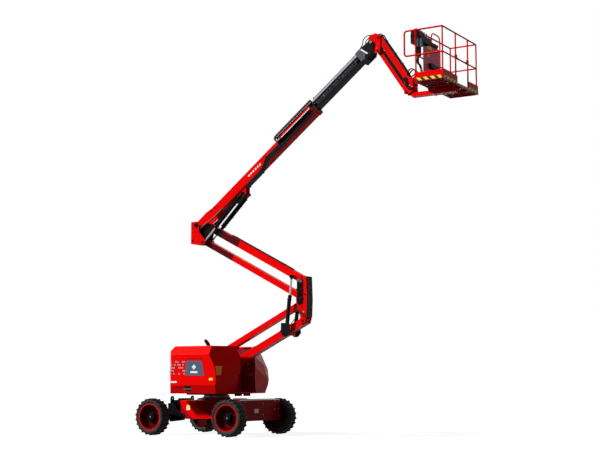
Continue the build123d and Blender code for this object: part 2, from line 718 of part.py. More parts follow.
ear = [
    (NOSE[0] + 120, -150),
    (EAR_END, -150),
    (HEAD_PIN[0] + 45, HEAD_PIN[1] - 45),
    (HEAD_PIN[0] + 45, HEAD_PIN[1] + 45),
    (HEAD_PIN[0] - 20, 130),
    (NOSE[0] + 120, 155),
]
for width in both((NOSE_HALF - 12, NOSE_HALF)):
    inner += profile(boom_frame, ear, width)
inner += disc(boom_frame, HEAD_PIN, PIN, (-NOSE_HALF - 8, NOSE_HALF + 8))
keep("boom_inner", inner)

# Chain along the boom
CHAIN_BEND = 70
CHAIN_Y = (-186, -126)  # beside the near face
CHAIN_LINE = BOOM_TOP + 15  # centre of the bend, square to the boom
chain_loop = (BOOM_LENGTH - 1180, CHAIN_LINE)
TRAY = (BOOM_LENGTH - 1240, BOOM_LENGTH - 110)
LINK_HALF = 16
TRAY_TOP = CHAIN_LINE - CHAIN_BEND - LINK_HALF - SEAT
tray = block(boom_frame, TRAY, (TRAY_TOP - 4, TRAY_TOP), (CHAIN_Y[0], -BOOM_HALF_WIDTH))
keep("chain_tray", tray)

# Head and jib
head_pin = spot(boom_pivot, BOOM_ANGLE, *HEAD_PIN)
JIB_PIN = 20
UPPER_SIDES, LOWER_SIDES = (56, 72), (38, 50)  # the lower arm folds inside the upper one
HEAD_SIDES = (84, 98)
JIB_UP_SHIFT = (164, 92)  # from the nose pin to the head's upper jib pin
JIB_LOW_SHIFT = (148, -201)
jib_up_start = shifted(head_pin, JIB_UP_SHIFT)
jib_low_start = shifted(head_pin, JIB_LOW_SHIFT)
jib_up_end = spot(jib_up_start, JIB_ANGLE, JIB_LENGTH)
jib_low_end = spot(jib_low_start, JIB_ANGLE, JIB_LENGTH)
head_plate = [
    # x, z about the pin in the boom's nose
    (-118, -30),
    (-60, 160),
    (88, 205),
    (215, 150),
    (215, 40),
    (200, -255),
    (80, -255),
    (10, -120),
]
head = disc(level, head_pin, 45, (-HEAD_SIDES[1], HEAD_SIDES[1]))
for width in both(HEAD_SIDES):
    head += profile(level, [shifted(head_pin, p) for p in head_plate], width)
cap_x, cap_z = (head_pin[0] - 60, head_pin[0] + 90), (head_pin[1] + 150, head_pin[1] + 162)
head += block(level, cap_x, cap_z, (-HEAD_SIDES[1], HEAD_SIDES[1]))
head -= disc(level, head_pin, PIN + PIN_CLEARANCE, (-130, 130))
PIN_HEAD = HEAD_SIDES[1] + 8  # half width of a cross pin with its heads
head += disc(level, jib_low_start, JIB_PIN, (-PIN_HEAD, PIN_HEAD))
for width in both((50, PIN_HEAD)):
    head += disc(level, jib_up_start, JIB_PIN, width)  # two stubs, as the cylinder passes between them
keep("boom_head", head)


def jib_arm(start, section, sides, cover, cover_along):
    """Two flat sides joined by one cover plate, so that the jib's cylinder runs between them."""
    frame = side_frame(start, JIB_ANGLE)
    eye = min(-section[0], section[1])
    shape = block(frame, cover_along, cover, (-sides[1], sides[1]))
    for width in both(sides):
        shape += block(frame, (0, JIB_LENGTH), section, width)
        for s in (0, JIB_LENGTH):
            shape += disc(frame, (s, 0), eye, width)
    for s in (0, JIB_LENGTH):
        shape -= disc(frame, (s, 0), JIB_PIN + PIN_CLEARANCE, (-sides[1] - 1, sides[1] + 1))
    return shape


UPPER_SECTION, LOWER_SECTION = (-58, 72), (-42, 42)
cover = (UPPER_SECTION[1] - 8, UPPER_SECTION[1])
upper_jib = jib_arm(jib_up_start, UPPER_SECTION, UPPER_SIDES, cover, (120, JIB_LENGTH - 400))
keep("jib_upper_arm", upper_jib)
cover = (LOWER_SECTION[0], LOWER_SECTION[0] + 8)
lower_jib = jib_arm(jib_low_start, LOWER_SECTION, LOWER_SIDES, cover, (360, JIB_LENGTH - 60))
keep("jib_lower_arm", lower_jib)

jib_angle, jib_reach = heading(jib_low_start, jib_up_end)
jib_frame = side_frame(jib_low_start, jib_angle)
JIB_BARREL, JIB_BARREL_RADIUS, JIB_ROD_RADIUS, JIB_ROD = 880, 32, 18, 800


def on_jib_line(along):
    return jib_frame.from_local_coords((along, 0, 0))


jib_barrel = disc(jib_frame, (0, 0), 36, (-30, 30))
jib_barrel += bar(on_jib_line(30), on_jib_line(JIB_BARREL), JIB_BARREL_RADIUS)
jib_barrel -= bar(on_jib_line(90), on_jib_line(JIB_BARREL + 1), JIB_ROD_RADIUS + 0.3)
jib_barrel -= disc(jib_frame, (0, 0), JIB_PIN + PIN_CLEARANCE, (-31, 31))
keep("jib_barrel", jib_barrel)
jib_rod = bar(on_jib_line(jib_reach - JIB_ROD), on_jib_line(jib_reach), JIB_ROD_RADIUS)
jib_rod += disc(jib_frame, (jib_reach, 0), 34, (-28, 28))
keep("jib_rod", jib_rod)

# Jib end and rotator
POST_RADIUS = 44
HOUSING_RADIUS = 72
ROTATOR_X = round(jib_low_end[0]) + ROTATOR_REACH
FLOOR_BOTTOM = round(jib_low_end[1]) - PLATFORM_DROP
HOUSING_Z = (FLOOR_BOTTOM + 9, FLOOR_BOTTOM + 319)
end_plate = [
    # x, z about the lower jib pin
    (-50, -40),
    (-45, 330),
    (60, 345),
    (ROTATOR_X - jib_low_end[0], 270),
    (ROTATOR_X - jib_low_end[0], 10),
    (40, -50),
]
jib_end = upright_bar(ROTATOR_X, 0, HOUSING_RADIUS, *HOUSING_Z)
for width in both(HEAD_SIDES):
    jib_end += profile(level, [shifted(jib_low_end, p) for p in end_plate], width)
WEB_X = ROTATOR_X - HOUSING_RADIUS
web_z = (HOUSING_Z[0] + 28, HOUSING_Z[1] - 32)
jib_end += block(level, (WEB_X, WEB_X + 14), web_z, (-HEAD_SIDES[1], HEAD_SIDES[1]))
jib_end -= upright_bar(ROTATOR_X, 0, POST_RADIUS + PIN_CLEARANCE, HOUSING_Z[0] - 150, HOUSING_Z[1] + 140)
jib_end += disc(level, jib_low_end, JIB_PIN, (-PIN_HEAD, PIN_HEAD))
for width in both((42, PIN_HEAD)):
    jib_end += disc(level, jib_up_end, JIB_PIN, width)
keep("jib_end", jib_end)

# Platform
FLOOR_TOP = FLOOR_BOTTOM + 50
BACK_X = ROTATOR_X + PLATFORM_REACH - PLATFORM_DEPTH / 2
FRONT_X = BACK_X + PLATFORM_DEPTH
HALF_Y = PLATFORM_WIDTH / 2
BEAM_BOTTOM = FLOOR_BOTTOM - 100

support = upright_bar(ROTATOR_X, 0, POST_RADIUS, BEAM_BOTTOM, HOUSING_Z[1] + 10)
support += upright_bar(ROTATOR_X, 0, POST_RADIUS + 8, HOUSING_Z[1] + 4, HOUSING_Z[1] + 20)
support += slab((ROTATOR_X - POST_RADIUS, BACK_X + 60), (-70, 70), (BEAM_BOTTOM, FLOOR_BOTTOM - 6))
support += slab((BACK_X - 10, FRONT_X - 120), (-90, 90), (BEAM_BOTTOM, FLOOR_BOTTOM))
keep("platform_support", support)

RAIL = 40
floor = slab((BACK_X, FRONT_X), (-HALF_Y, HALF_Y), (FLOOR_BOTTOM, FLOOR_TOP))
inside_x, inside_y = (BACK_X + RAIL, FRONT_X - RAIL), (RAIL - HALF_Y, HALF_Y - RAIL)
floor -= slab(inside_x, inside_y, (FLOOR_BOTTOM - 1, FLOOR_TOP - 5))
GRATE_STEP, GRATE_BAR = 100, 12
for i in range(-8, 9):
    y = i * GRATE_STEP
    bar_y = (y - GRATE_BAR / 2, y + GRATE_BAR / 2)
    floor += slab((BACK_X + 20, FRONT_X - 20), bar_y, (FLOOR_BOTTOM, FLOOR_TOP - 4))
for i in (-1, 0, 1):
    x = (BACK_X + FRONT_X) / 2 + i * PLATFORM_DEPTH / 4
    bar_x = (x - GRATE_BAR / 2, x + GRATE_BAR / 2)
    floor += slab(bar_x, (20 - HALF_Y, HALF_Y - 20), (FLOOR_BOTTOM, FLOOR_TOP - 4))
TREAD_TOP = FLOOR_TOP + 3  # the sheet that people stand on, inside the posts
TREAD_EDGE = 52
tread_x, tread_y = (BACK_X + TREAD_EDGE, FRONT_X - TREAD_EDGE), (TREAD_EDGE - HALF_Y, HALF_Y - TREAD_EDGE)
floor += slab(tread_x, tread_y, (FLOOR_TOP - 5, TREAD_TOP))
keep("platform_floor", floor)

TOE_TOP = FLOOR_TOP + 150
TOE = 5
GATE_Y = (-220, 420)
toe_x, toe_y = (BACK_X + 2, FRONT_X - 2), (2 - HALF_Y, HALF_Y - 2)
cut_z = (FLOOR_TOP - 1, TOE_TOP + 1)
toe = slab(toe_x, toe_y, (FLOOR_TOP, TOE_TOP))
toe -= slab((toe_x[0] + TOE, toe_x[1] - TOE), (toe_y[0] + TOE, toe_y[1] - TOE), cut_z)
toe -= slab((FRONT_X - 50, FRONT_X + 50), (GATE_Y[0] + 30, GATE_Y[1] - 30), cut_z)
keep("toe_boards", toe)

RAIL_TOP = FLOOR_BOTTOM + RAIL_HEIGHT - RAIL_RADIUS
RAIL_MID = FLOOR_BOTTOM + 590
INSET = 30  # rail centre lines, inside the toe boards
x_back, x_front = BACK_X + INSET, FRONT_X - INSET
y_near, y_far = INSET - HALF_Y, HALF_Y - INSET
posts = [
    # x, y
    (x_back, y_near),
    (x_front, y_near),
    (x_front, GATE_Y[0]),
    (x_front, GATE_Y[1]),
    (x_front, y_far),
    (x_back, y_far),
]
LOOP_X = BACK_X - 237.5
POST = RAIL_RADIUS - 2
LOOP_BEND, CORNER_BEND = 60, 32


rails = upright_bar(*posts[0], POST, FLOOR_TOP, RAIL_TOP)
for x, y in posts[1:]:
    rails += upright_bar(x, y, POST, FLOOR_TOP, RAIL_TOP)
front_near, front_far = (x_front, y_near), (x_front, y_far)
back_near, back_far = (x_back, y_near), (x_back, y_far)
loop_near = (LOOP_X, y_near)
loop_rail = [
    (*front_near, RAIL_TOP),
    (*loop_near, RAIL_TOP),
    (*loop_near, RAIL_MID),
    (*front_near, RAIL_MID),
]
rails += piped(loop_rail, LOOP_BEND, RAIL_RADIUS)
top_rail = [(*corner, RAIL_TOP) for corner in (front_near, front_far, back_far, back_near)]
rails += piped(top_rail, CORNER_BEND, POST)
gate_side = (x_front, GATE_Y[1])
mid_rail = [(*corner, RAIL_MID) for corner in (gate_side, front_far, back_far, back_near)]
rails += piped(mid_rail, CORNER_BEND, POST - 1)
rails += bar((x_front, y_near, RAIL_MID), (x_front, GATE_Y[0], RAIL_MID), POST - 1)
HOOP_Y = (-100, 330)
HOOP_TOP = RAIL_TOP + 130
hoop = [
    (x_back, HOOP_Y[0], FLOOR_TOP),
    (x_back, HOOP_Y[0], HOOP_TOP),
    (x_back, HOOP_Y[1], HOOP_TOP),
    (x_back, HOOP_Y[1], FLOOR_TOP),
]
rails += piped(hoop, 110, POST - 2)
keep("platform_rails", rails)

panel_x = x_back + POST - 1 + SEAT
PANEL_Y = (-410, 260)
keep("back_panel", slab((panel_x, panel_x + 3), PANEL_Y, (FLOOR_TOP + 107, RAIL_TOP - 181)))
CONSOLE_Y = (-820, -440)
CONSOLE_Z = (RAIL_TOP - 261, RAIL_TOP - 121)
console = slab((x_back - 150, x_back + 150), CONSOLE_Y, CONSOLE_Z)
for y in (CONSOLE_Y[0] + 40, CONSOLE_Y[1] - 50):
    console += slab((x_back - 28, x_back + 28), (y - 5, y + 5), (CONSOLE_Z[1] - 10, RAIL_TOP + 28))
console -= bar((x_back, CONSOLE_Y[0] - 10, RAIL_TOP), (x_back, CONSOLE_Y[1] + 10, RAIL_TOP), POST + SEAT)
console += slab((x_back - 110, x_back - 25), (-700, -560), (CONSOLE_Z[0] - 240, CONSOLE_Z[0] + 5))
keep("control_console", console)
gate_bar = [(x_front, y, RAIL_MID) for y in (GATE_Y[0] + RAIL_RADIUS + 10, GATE_Y[1] - RAIL_RADIUS - 10)]
gate = bar(*gate_bar, RAIL_RADIUS - 2)
for y in GATE_Y:
    gate += upright_bar(x_front, y, POST + 8, RAIL_MID + POST - 1 + SEAT, RAIL_MID + POST + 60)
    step = 1 if y < 0 else -1
    strap_y = sorted((y + step * 22, y + step * 60))
    gate += slab((x_front - 14, x_front + 14), strap_y, (RAIL_MID - 14, RAIL_MID + POST + 60))
for y in GATE_Y:
    gate -= upright_bar(x_front, y, POST + SEAT, RAIL_MID - 200, RAIL_MID + 200)
keep("gate_bar", gate)

# Energy chain
LOWER_RUN = CHAIN_LINE - CHAIN_BEND
UPPER_RUN = CHAIN_LINE + CHAIN_BEND
WIDER = (CHAIN_Y[0] - 1, CHAIN_Y[1] + 1)
LINK_PITCH, LINK_GAP, GAP_DEPTH = 75, 16, 7
BEND_STEP = 30  # the links lie flat, so the bend has corners
bend_angles = list(range(90, 271, BEND_STEP))
outside = [spot(chain_loop, angle, CHAIN_BEND + LINK_HALF) for angle in bend_angles]
inside = [spot(chain_loop, angle, CHAIN_BEND - LINK_HALF) for angle in reversed(bend_angles)]
chain = profile(boom_frame, outside + inside, CHAIN_Y)
for run, count in ((LOWER_RUN, 8), (UPPER_RUN, 16)):
    along = (chain_loop[0], chain_loop[0] + count * LINK_PITCH)
    chain += block(boom_frame, along, (run - LINK_HALF, run + LINK_HALF), CHAIN_Y)
    for i in range(count):
        low = chain_loop[0] + i * LINK_PITCH
        for face in (run - LINK_HALF, run + LINK_HALF):
            cut = (face - GAP_DEPTH, face + GAP_DEPTH)
            chain -= block(boom_frame, (low, low + LINK_GAP), cut, WIDER)
keep("energy_chain", chain)

# Place and write
whole = Compound(list(EVERYTHING.values())).bounding_box()
SHIFT_X = -round((whole.min.X + whole.max.X) / 2)
print("shift", SHIFT_X, "box", whole.min, whole.max)
os.makedirs("parts", exist_ok=True)
for name, shape in EVERYTHING.items():
    placed = Pos(SHIFT_X, 0, 0) * shape
    if not placed.is_valid or len(placed.solids()) != 1:
        print(name, placed.is_valid, len(placed.solids()))
    export_step(placed, f"parts/{name}.step")
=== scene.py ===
import json
import math
import bmesh
import bpy
import numpy as np
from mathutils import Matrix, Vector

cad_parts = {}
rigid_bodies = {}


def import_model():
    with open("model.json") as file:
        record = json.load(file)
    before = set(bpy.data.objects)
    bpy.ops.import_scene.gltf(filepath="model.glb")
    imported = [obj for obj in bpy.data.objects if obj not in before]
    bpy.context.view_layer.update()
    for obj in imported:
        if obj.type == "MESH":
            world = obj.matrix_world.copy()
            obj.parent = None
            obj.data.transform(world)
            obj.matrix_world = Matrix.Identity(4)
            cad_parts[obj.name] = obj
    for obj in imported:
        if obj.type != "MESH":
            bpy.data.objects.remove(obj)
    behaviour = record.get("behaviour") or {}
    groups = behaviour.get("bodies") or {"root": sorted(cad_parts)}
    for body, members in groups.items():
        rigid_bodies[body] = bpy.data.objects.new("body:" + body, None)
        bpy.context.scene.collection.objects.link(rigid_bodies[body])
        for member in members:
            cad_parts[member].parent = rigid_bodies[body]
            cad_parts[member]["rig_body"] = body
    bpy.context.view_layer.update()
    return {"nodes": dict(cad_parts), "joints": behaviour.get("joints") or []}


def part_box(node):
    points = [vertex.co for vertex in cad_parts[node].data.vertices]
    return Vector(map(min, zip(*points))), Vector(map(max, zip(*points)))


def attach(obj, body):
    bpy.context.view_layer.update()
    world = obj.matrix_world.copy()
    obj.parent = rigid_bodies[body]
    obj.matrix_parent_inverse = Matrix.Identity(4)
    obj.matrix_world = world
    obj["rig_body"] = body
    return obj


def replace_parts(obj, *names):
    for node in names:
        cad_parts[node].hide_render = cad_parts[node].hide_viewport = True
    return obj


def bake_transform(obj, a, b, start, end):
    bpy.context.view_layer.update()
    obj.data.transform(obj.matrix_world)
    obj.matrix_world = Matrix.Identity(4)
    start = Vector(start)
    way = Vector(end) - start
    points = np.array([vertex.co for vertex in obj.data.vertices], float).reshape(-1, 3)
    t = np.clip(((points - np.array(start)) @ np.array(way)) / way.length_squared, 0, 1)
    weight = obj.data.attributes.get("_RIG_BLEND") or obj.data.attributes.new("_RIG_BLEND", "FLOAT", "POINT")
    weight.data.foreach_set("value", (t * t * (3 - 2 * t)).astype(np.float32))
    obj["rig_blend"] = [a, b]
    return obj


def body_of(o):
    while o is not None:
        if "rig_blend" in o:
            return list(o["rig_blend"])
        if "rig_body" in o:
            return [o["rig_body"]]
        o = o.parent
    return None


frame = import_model()
print("frame loaded:", len(frame["nodes"]), "nodes")

joints = {j["name"]: j for j in frame["joints"]}


def pin(name):
    # the joint's own point, in metres
    return np.array(joints[name]["pos_m"], float)


def way(name):
    return np.array(joints[name]["axis"], float)


def box(node):
    low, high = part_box(node)
    return np.array(low), np.array(high)


across = np.array([0.0, 1.0, 0.0])
upwards = np.array([0.0, 0.0, 1.0])
sides = (-1, 1)  # the near side and the far side
tags = {-1: "near", 1: "far"}


class Member:
    # a straight member seen from the near side: s runs along it, n square to it and upwards, y across
    def __init__(self, start, along):
        self.start = np.array([start[0], 0.0, start[2]])
        self.along = np.array([along[0], 0.0, along[2]]) / math.hypot(along[0], along[2])
        self.up = np.array([-self.along[2], 0.0, self.along[0]])

    def at(self, s, n, y=0.0):
        s, n, y = np.broadcast_arrays(np.asarray(s, float), n, y)
        return self.start + s[..., None] * self.along + n[..., None] * self.up + y[..., None] * across

    def run(self, places, y=0.0):
        # the points at (s, n) pairs
        return [self.at(s, n, y) for s, n in places]

    def local(self, point):
        # the (s, n) of a point
        offset = point - self.start
        return offset @ self.along, offset @ self.up

    def box(self, s, n, y):
        # a box from three (low, high) pairs
        edges = (s[1] - s[0]) * self.along, (n[1] - n[0]) * self.up, (y[1] - y[0]) * across
        return boxPart(self.at(s[0], n[0], y[0]), *edges)

    def boxes(self, s, n, y, only=sides):
        # the same box on each side, from its (low, high) distances from the middle plane
        return [self.box(s, n, sorted((side * y[0], side * y[1]))) for side in only]

    def plate(self, outline, y, thickness):
        # an outline of (s, n) pairs at one y, given a thickness away from the middle plane
        return platePart(self.run(outline, y), math.copysign(thickness, y) * across)

    def plates(self, outline, y, thickness):
        return [self.plate(outline, side * y, thickness) for side in sides]

    def discs(self, places, y, *sizes, only=sides, form=None):
        # discs, or another form, on the side faces at (s, n) pairs
        form = form or discPart
        return [form(point, side * across, *sizes) for side in only for point in self.run(places, side * y)]

    def bolts(self, places, y, size, only=sides):
        return self.discs(places, y, size, only=only, form=boltPart)


armStart, kneeLow = pin("riser_lift"), pin("knee_turn")
linkStart = pin("lower_link_turn")
kneeUp, kneeUpLink, uprightUp = pin("upper_arm_turn"), pin("upper_link_turn"), pin("upright_turn")
uprightLow = kneeUpLink + uprightUp - kneeUp
boomPivot, liftPin, headPin = pin("boom_lift"), pin("lift_barrel_turn"), pin("boom_head_level")
riserBase = pin("riser_barrel_turn")
jibLowStart, jibUpStart, jibLowEnd = pin("jib_lift"), pin("jib_upper_turn"), pin("jib_end_level")
jibUpEnd = jibUpStart + jibLowEnd - jibLowStart
rotator = pin("platform_rotate")
slewPoint = pin("slew")
forwards = (1, 0, 0)

lowerArm = Member(armStart, kneeLow - armStart)
upperArm = Member(uprightUp, kneeUp - uprightUp)
upperLink = Member(uprightLow, kneeUp - uprightUp)
boom = Member(boomPivot, way("telescope"))
liftLine = Member(liftPin, way("lift_rod_slide"))
jibLower = Member(jibLowStart, jibLowEnd - jibLowStart)
jibUpper = Member(jibUpStart, jibLowEnd - jibLowStart)
level = Member(slewPoint * forwards, forwards)  # s and n are the distances from the slew axis and the ground
kneeLevel, uprightLevel = Member(kneeLow, forwards), Member(uprightLow, forwards)
headLevel, endLevel = Member(headPin, forwards), Member(jibLowEnd, forwards)


def gridPart(grid, wrapU=False, wrapV=False, capU=False):
    # a part is a pair, points and faces: here points of a function of two parameters, joined along u and v
    nu, nv = grid.shape[:2]
    number = np.arange(nu * nv).reshape(nu, nv)
    u = np.arange(nu if wrapU else nu - 1)[:, None]
    v = np.arange(nv if wrapV else nv - 1)[None, :]
    a, b = number[u, v], number[(u + 1) % nu, v]
    c, d = number[(u + 1) % nu, (v + 1) % nv], number[u, (v + 1) % nv]
    faces = np.stack([a, b, c, d], -1).reshape(-1, 4).tolist()
    if capU:
        faces += [number[0].tolist(), number[-1][::-1].tolist()]
    return grid.reshape(-1, 3), faces


def fullTurn(count):
    return np.linspace(0, 2 * math.pi, count, endpoint=False)


def tubePart(path, radius, facets=10, square=across):
    # a circle carried along a path: centre + radius * (cos t * side + sin t * over)
    path = np.asarray(path, float)
    tangent = np.gradient(path, axis=0)
    tangent /= np.linalg.norm(tangent, axis=1)[:, None]
    side = np.cross(tangent, square)
    side /= np.linalg.norm(side, axis=1)[:, None]
    over = np.cross(side, tangent)
    t = fullTurn(facets)[None, :, None]
    wide = np.broadcast_to(np.asarray(radius, float), (len(path),))[:, None, None]
    ring = np.cos(t) * side[:, None] + np.sin(t) * over[:, None]
    return gridPart(path[:, None] + wide * ring, wrapV=True, capU=True)


def turnedPart(section, centre, axis, facets=32, start=0.0, closed=False):
    # (radius, distance along the axis) turned about the axis: centre + h * axis + r * (cos t * x + sin t * y)
    section = np.asarray(section, float)
    axis = np.asarray(axis, float) / np.linalg.norm(axis)
    x = np.cross(axis, upwards if abs(axis[2]) < 0.9 else forwards)
    x /= np.linalg.norm(x)
    t = start + fullTurn(facets)[:, None]
    ring = np.cos(t) * x + np.sin(t) * np.cross(axis, x)
    grid = centre + section[:, 1, None, None] * axis + section[:, 0, None, None] * ring
    return gridPart(grid, wrapU=closed, wrapV=True, capU=not closed)


def discPart(centre, axis, radius, thickness, facets=24):
    # a disc with a small chamfer at its free end
    chamfer = min(0.15 * radius, 0.3 * thickness)
    section = [(radius, 0), (radius, thickness - chamfer), (radius - chamfer, thickness)]
    return turnedPart(section, centre, axis, facets)


def boltPart(centre, axis, size):
    # a washer and a six-sided head, from the distance across the head
    washer = discPart(centre, axis, 0.62 * size, 0.16 * size, 16)
    return joined([washer, discPart(centre, axis, 0.55 * size, 0.62 * size, 6)])


def boxPart(corner, a, b, c):
    # corner + i * a + j * b + k * c with i, j and k at 0 and 1
    i, j, k = np.meshgrid([0, 1], [0, 1], [0, 1], indexing="ij")
    points = corner + i[..., None] * a + j[..., None] * b + k[..., None] * c
    faces = [[0, 1, 3, 2], [4, 6, 7, 5], [0, 4, 5, 1], [2, 3, 7, 6], [0, 2, 6, 4], [1, 5, 7, 3]]
    return points.reshape(-1, 3), faces


def platePart(outline, lift):
    # an outline of points and the same outline moved by lift, joined round the edge
    outline = np.asarray(outline, float)
    number = np.arange(len(outline))
    after = (number + 1) % len(outline)
    faces = np.stack([number, after, after + len(outline), number + len(outline)], -1).tolist()
    faces += [number[::-1].tolist(), (number + len(outline)).tolist()]
    return np.concatenate([outline, outline + lift]), faces


def joined(parts):
    points, faces, shift = [], [], 0
    for partPoints, partFaces in parts:
        points.append(partPoints)
        faces += [[v + shift for v in face] for face in partFaces]
        shift += len(partPoints)
    return np.concatenate(points), faces


def spun(part, centre, axis, count):
    # the same part turned evenly about an axis: p cos t + (axis x p) sin t + axis (axis . p)(1 - cos t)
    points, faces = part
    axis = np.asarray(axis, float) / np.linalg.norm(axis)
    p = points - centre
    t = fullTurn(count)[:, None, None]
    crossed, along = np.cross(axis, p), (p @ axis)[:, None] * axis
    turned = p * np.cos(t) + crossed * np.sin(t) + along * (1 - np.cos(t)) + centre
    return turned.reshape(-1, 3), [[v + n * len(p) for v in face] for n in range(count) for face in faces]


def smoothPath(points, steps=8):
    # Catmull-Rom: each run is the cubic that leaves a point along the line between its neighbours
    p = np.asarray(points, float)
    p = np.concatenate([[2 * p[0] - p[1]], p, [2 * p[-1] - p[-2]]])
    t = np.linspace(0, 1, steps, endpoint=False)[None, :, None]
    a, b, c, d = (p[n : len(p) - 3 + n][:, None] for n in range(4))
    square, cube = (2 * a - 5 * b + 4 * c - d) * t**2, (3 * b - a - 3 * c + d) * t**3
    runs = 0.5 * (2 * b + (c - a) * t + square + cube)
    return np.concatenate([runs.reshape(-1, 3), p[-2:-1]])


def hoses(points, radius, offsets=((0, 0, 0),), square=across):
    # one smooth run, repeated at each offset
    path = smoothPath(points)
    return [tubePart(path + np.asarray(offset, float), radius, 8, square) for offset in offsets]


def placed(name, work, material, smooth, sharp):
    # puts a finished bmesh into the scene as an object
    mesh = bpy.data.meshes.new(name)
    work.to_mesh(mesh)
    work.free()
    mesh.materials.append(material)
    if smooth:
        mesh.polygons.foreach_set("use_smooth", [True] * len(mesh.polygons))
        mesh.set_sharp_from_angle(angle=math.radians(sharp))
    made = bpy.data.objects.new(name, mesh)
    bpy.context.scene.collection.objects.link(made)
    return made


def eased(made, width):
    # rounds the sharp edges
    edge = made.modifiers.new("edges", "BEVEL")
    edge.width, edge.segments = width, 2
    edge.limit_method, edge.angle_limit = "ANGLE", math.radians(35)
    edge.harden_normals = False


def piece(name, parts, material, body, bevel=None):
    # joins parts into one object that rides on a body, or bends from one to the next: (a, b, start, end);
    # without a bevel it is shaded smooth between sharp edges, and with one, which may be 0, it is flat
    points, faces = joined(parts)
    mesh = bpy.data.meshes.new(name + "_draft")
    mesh.from_pydata(points.tolist(), [], faces)
    work = bmesh.new()
    work.from_mesh(mesh)
    bpy.data.meshes.remove(mesh)
    bmesh.ops.recalc_face_normals(work, faces=work.faces)
    made = placed(name, work, material, bevel is None, 38)
    if bevel:
        eased(made, bevel)
    if isinstance(body, tuple):
        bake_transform(made, body[0], body[1], start=tuple(body[2].tolist()), end=tuple(body[3].tolist()))
    else:
        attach(made, body)
    return made


def easedNode(node, width):
    # the node's own form with its edges rounded: a copy of its mesh is merged and its flat faces joined first
    source = frame["nodes"][node]
    work = bmesh.new()
    work.from_mesh(source.data)
    bmesh.ops.remove_doubles(work, verts=work.verts, dist=1e-5)
    bmesh.ops.dissolve_limit(work, angle_limit=math.radians(0.5), verts=work.verts, edges=work.edges)
    made = placed(node + "_eased", work, source.data.materials[0], True, 30)
    eased(made, width)
    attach(made, body_of(source)[0])
    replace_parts(made, node)


def arithmetic(operation, reflected=False):
    # a method that adds a Math node on its own socket and the values that it is given, which a reflected one
    # puts first
    def method(self, *values):
        inputs = (*values, self) if reflected else (self, *values)
        return self.paint.add("Math", dict(enumerate(inputs)), operation=operation)

    return method


class Wire:
    # wraps one socket, so that an expression on it adds its Math nodes
    def __init__(self, paint, socket):
        self.paint, self.socket = paint, socket

    __add__, __sub__, __mul__ = arithmetic("ADD"), arithmetic("SUBTRACT"), arithmetic("MULTIPLY")
    __radd__, __rsub__, __rmul__ = __add__, arithmetic("SUBTRACT", True), __mul__  # so that 1 - mask works
    __gt__, __lt__, either = arithmetic("GREATER_THAN"), arithmetic("LESS_THAN"), arithmetic("MAXIMUM")
    size, root, wrapped = arithmetic("ABSOLUTE"), arithmetic("SQRT"), arithmetic("WRAP")


class Paint:
    # the nodes of one material or world: add() makes one from its type, its sockets' values or links and its
    # settings
    def __init__(self, name, kind=bpy.data.materials):
        self.holder = kind.new(name)
        self.holder.use_nodes = True
        self.tree = self.holder.node_tree
        self.shader = self.tree.nodes.get("Principled BSDF") or self.tree.nodes["Background"]

    def put(self, socket, value):
        if isinstance(value, Wire):
            self.tree.links.new(value.socket, socket)
        elif socket.type == "RGBA" and len(value) == 3:
            socket.default_value = (*value, 1.0)
        else:
            socket.default_value = value

    def add(self, kind, sockets, out=0, **settings):
        node = self.tree.nodes.new("ShaderNode" + kind)
        for key, value in settings.items():
            setattr(node, key, value)
        for key, value in sockets.items():
            self.put(node.inputs[key], value)
        return Wire(self, node.outputs[out])

    def spot(self):
        return self.add("TexCoord", {}, "Object")

    def axes(self, vector=None):
        first = self.add("SeparateXYZ", {0: vector or self.spot()})
        return [Wire(self, socket) for socket in first.socket.node.outputs]

    def noise(self, scale, detail=3.0, roughness=0.5):
        sockets = {"Vector": self.spot(), "Scale": scale, "Detail": detail, "Roughness": roughness}
        return self.add("TexNoise", sockets, "Fac")

    def mix(self, mask, low, high):
        # low where the mask is 0 and high where it is 1
        return self.add("Mix", {"Factor": mask, 6: low, 7: high}, 2, data_type="RGBA")

    def spread(self, mask, colour, low, high):
        # a colour made darker where the mask is 0 and lighter where it is 1
        return self.mix(mask, [c * low for c in colour], [min(1.0, c * high) for c in colour])

    def scaled(self, value, low, high, newLow=0.0, newHigh=1.0):
        sockets = {"Value": value, "From Min": low, "From Max": high, "To Min": newLow, "To Max": newHigh}
        return self.add("MapRange", sockets, clamp=True)

    def bump(self, height, strength, distance):
        made = self.add("Bump", {"Height": height, "Strength": strength, "Distance": distance})
        self.put(self.shader.inputs["Normal"], made)

    def finish(self, colour, roughness, specular=None, **sockets):
        sockets.update({"Base Color": colour, "Roughness": roughness})
        if specular is not None:
            sockets["Specular IOR Level"] = specular
        for name, value in sockets.items():
            self.put(self.shader.inputs[name], value)
        return self.holder

    def choose(self, lights, seen, end):
        # one shader for what lights the machine, and another for what the camera sees, also in mirrors
        rays = self.add("LightPath", {}).socket.node.outputs
        mask = Wire(self, rays["Is Camera Ray"])
        for name in ("Is Glossy Ray", "Is Transmission Ray"):
            mask = mask.either(Wire(self, rays[name]))
        mixed = self.add("MixShader", {0: mask, 1: lights, 2: seen})
        self.tree.nodes.remove(self.shader)
        self.put(self.tree.nodes[end].inputs["Surface"], mixed)


paintLook = dict(
    specular=0.03,  # low, so that the reds stay full beside a white studio
    dust=(0.2, 0.11, 0.08),
    # the pale line near a rim's edge is a painted highlight
    wheelRed=0.3,  # the radius inside which a rim is red, and the pale line near its edge
    highlightLine=(0.3165, 0.3205),
    peelScale=420.0,
    patchScale=1.6,
    rodEye=0.11,
)


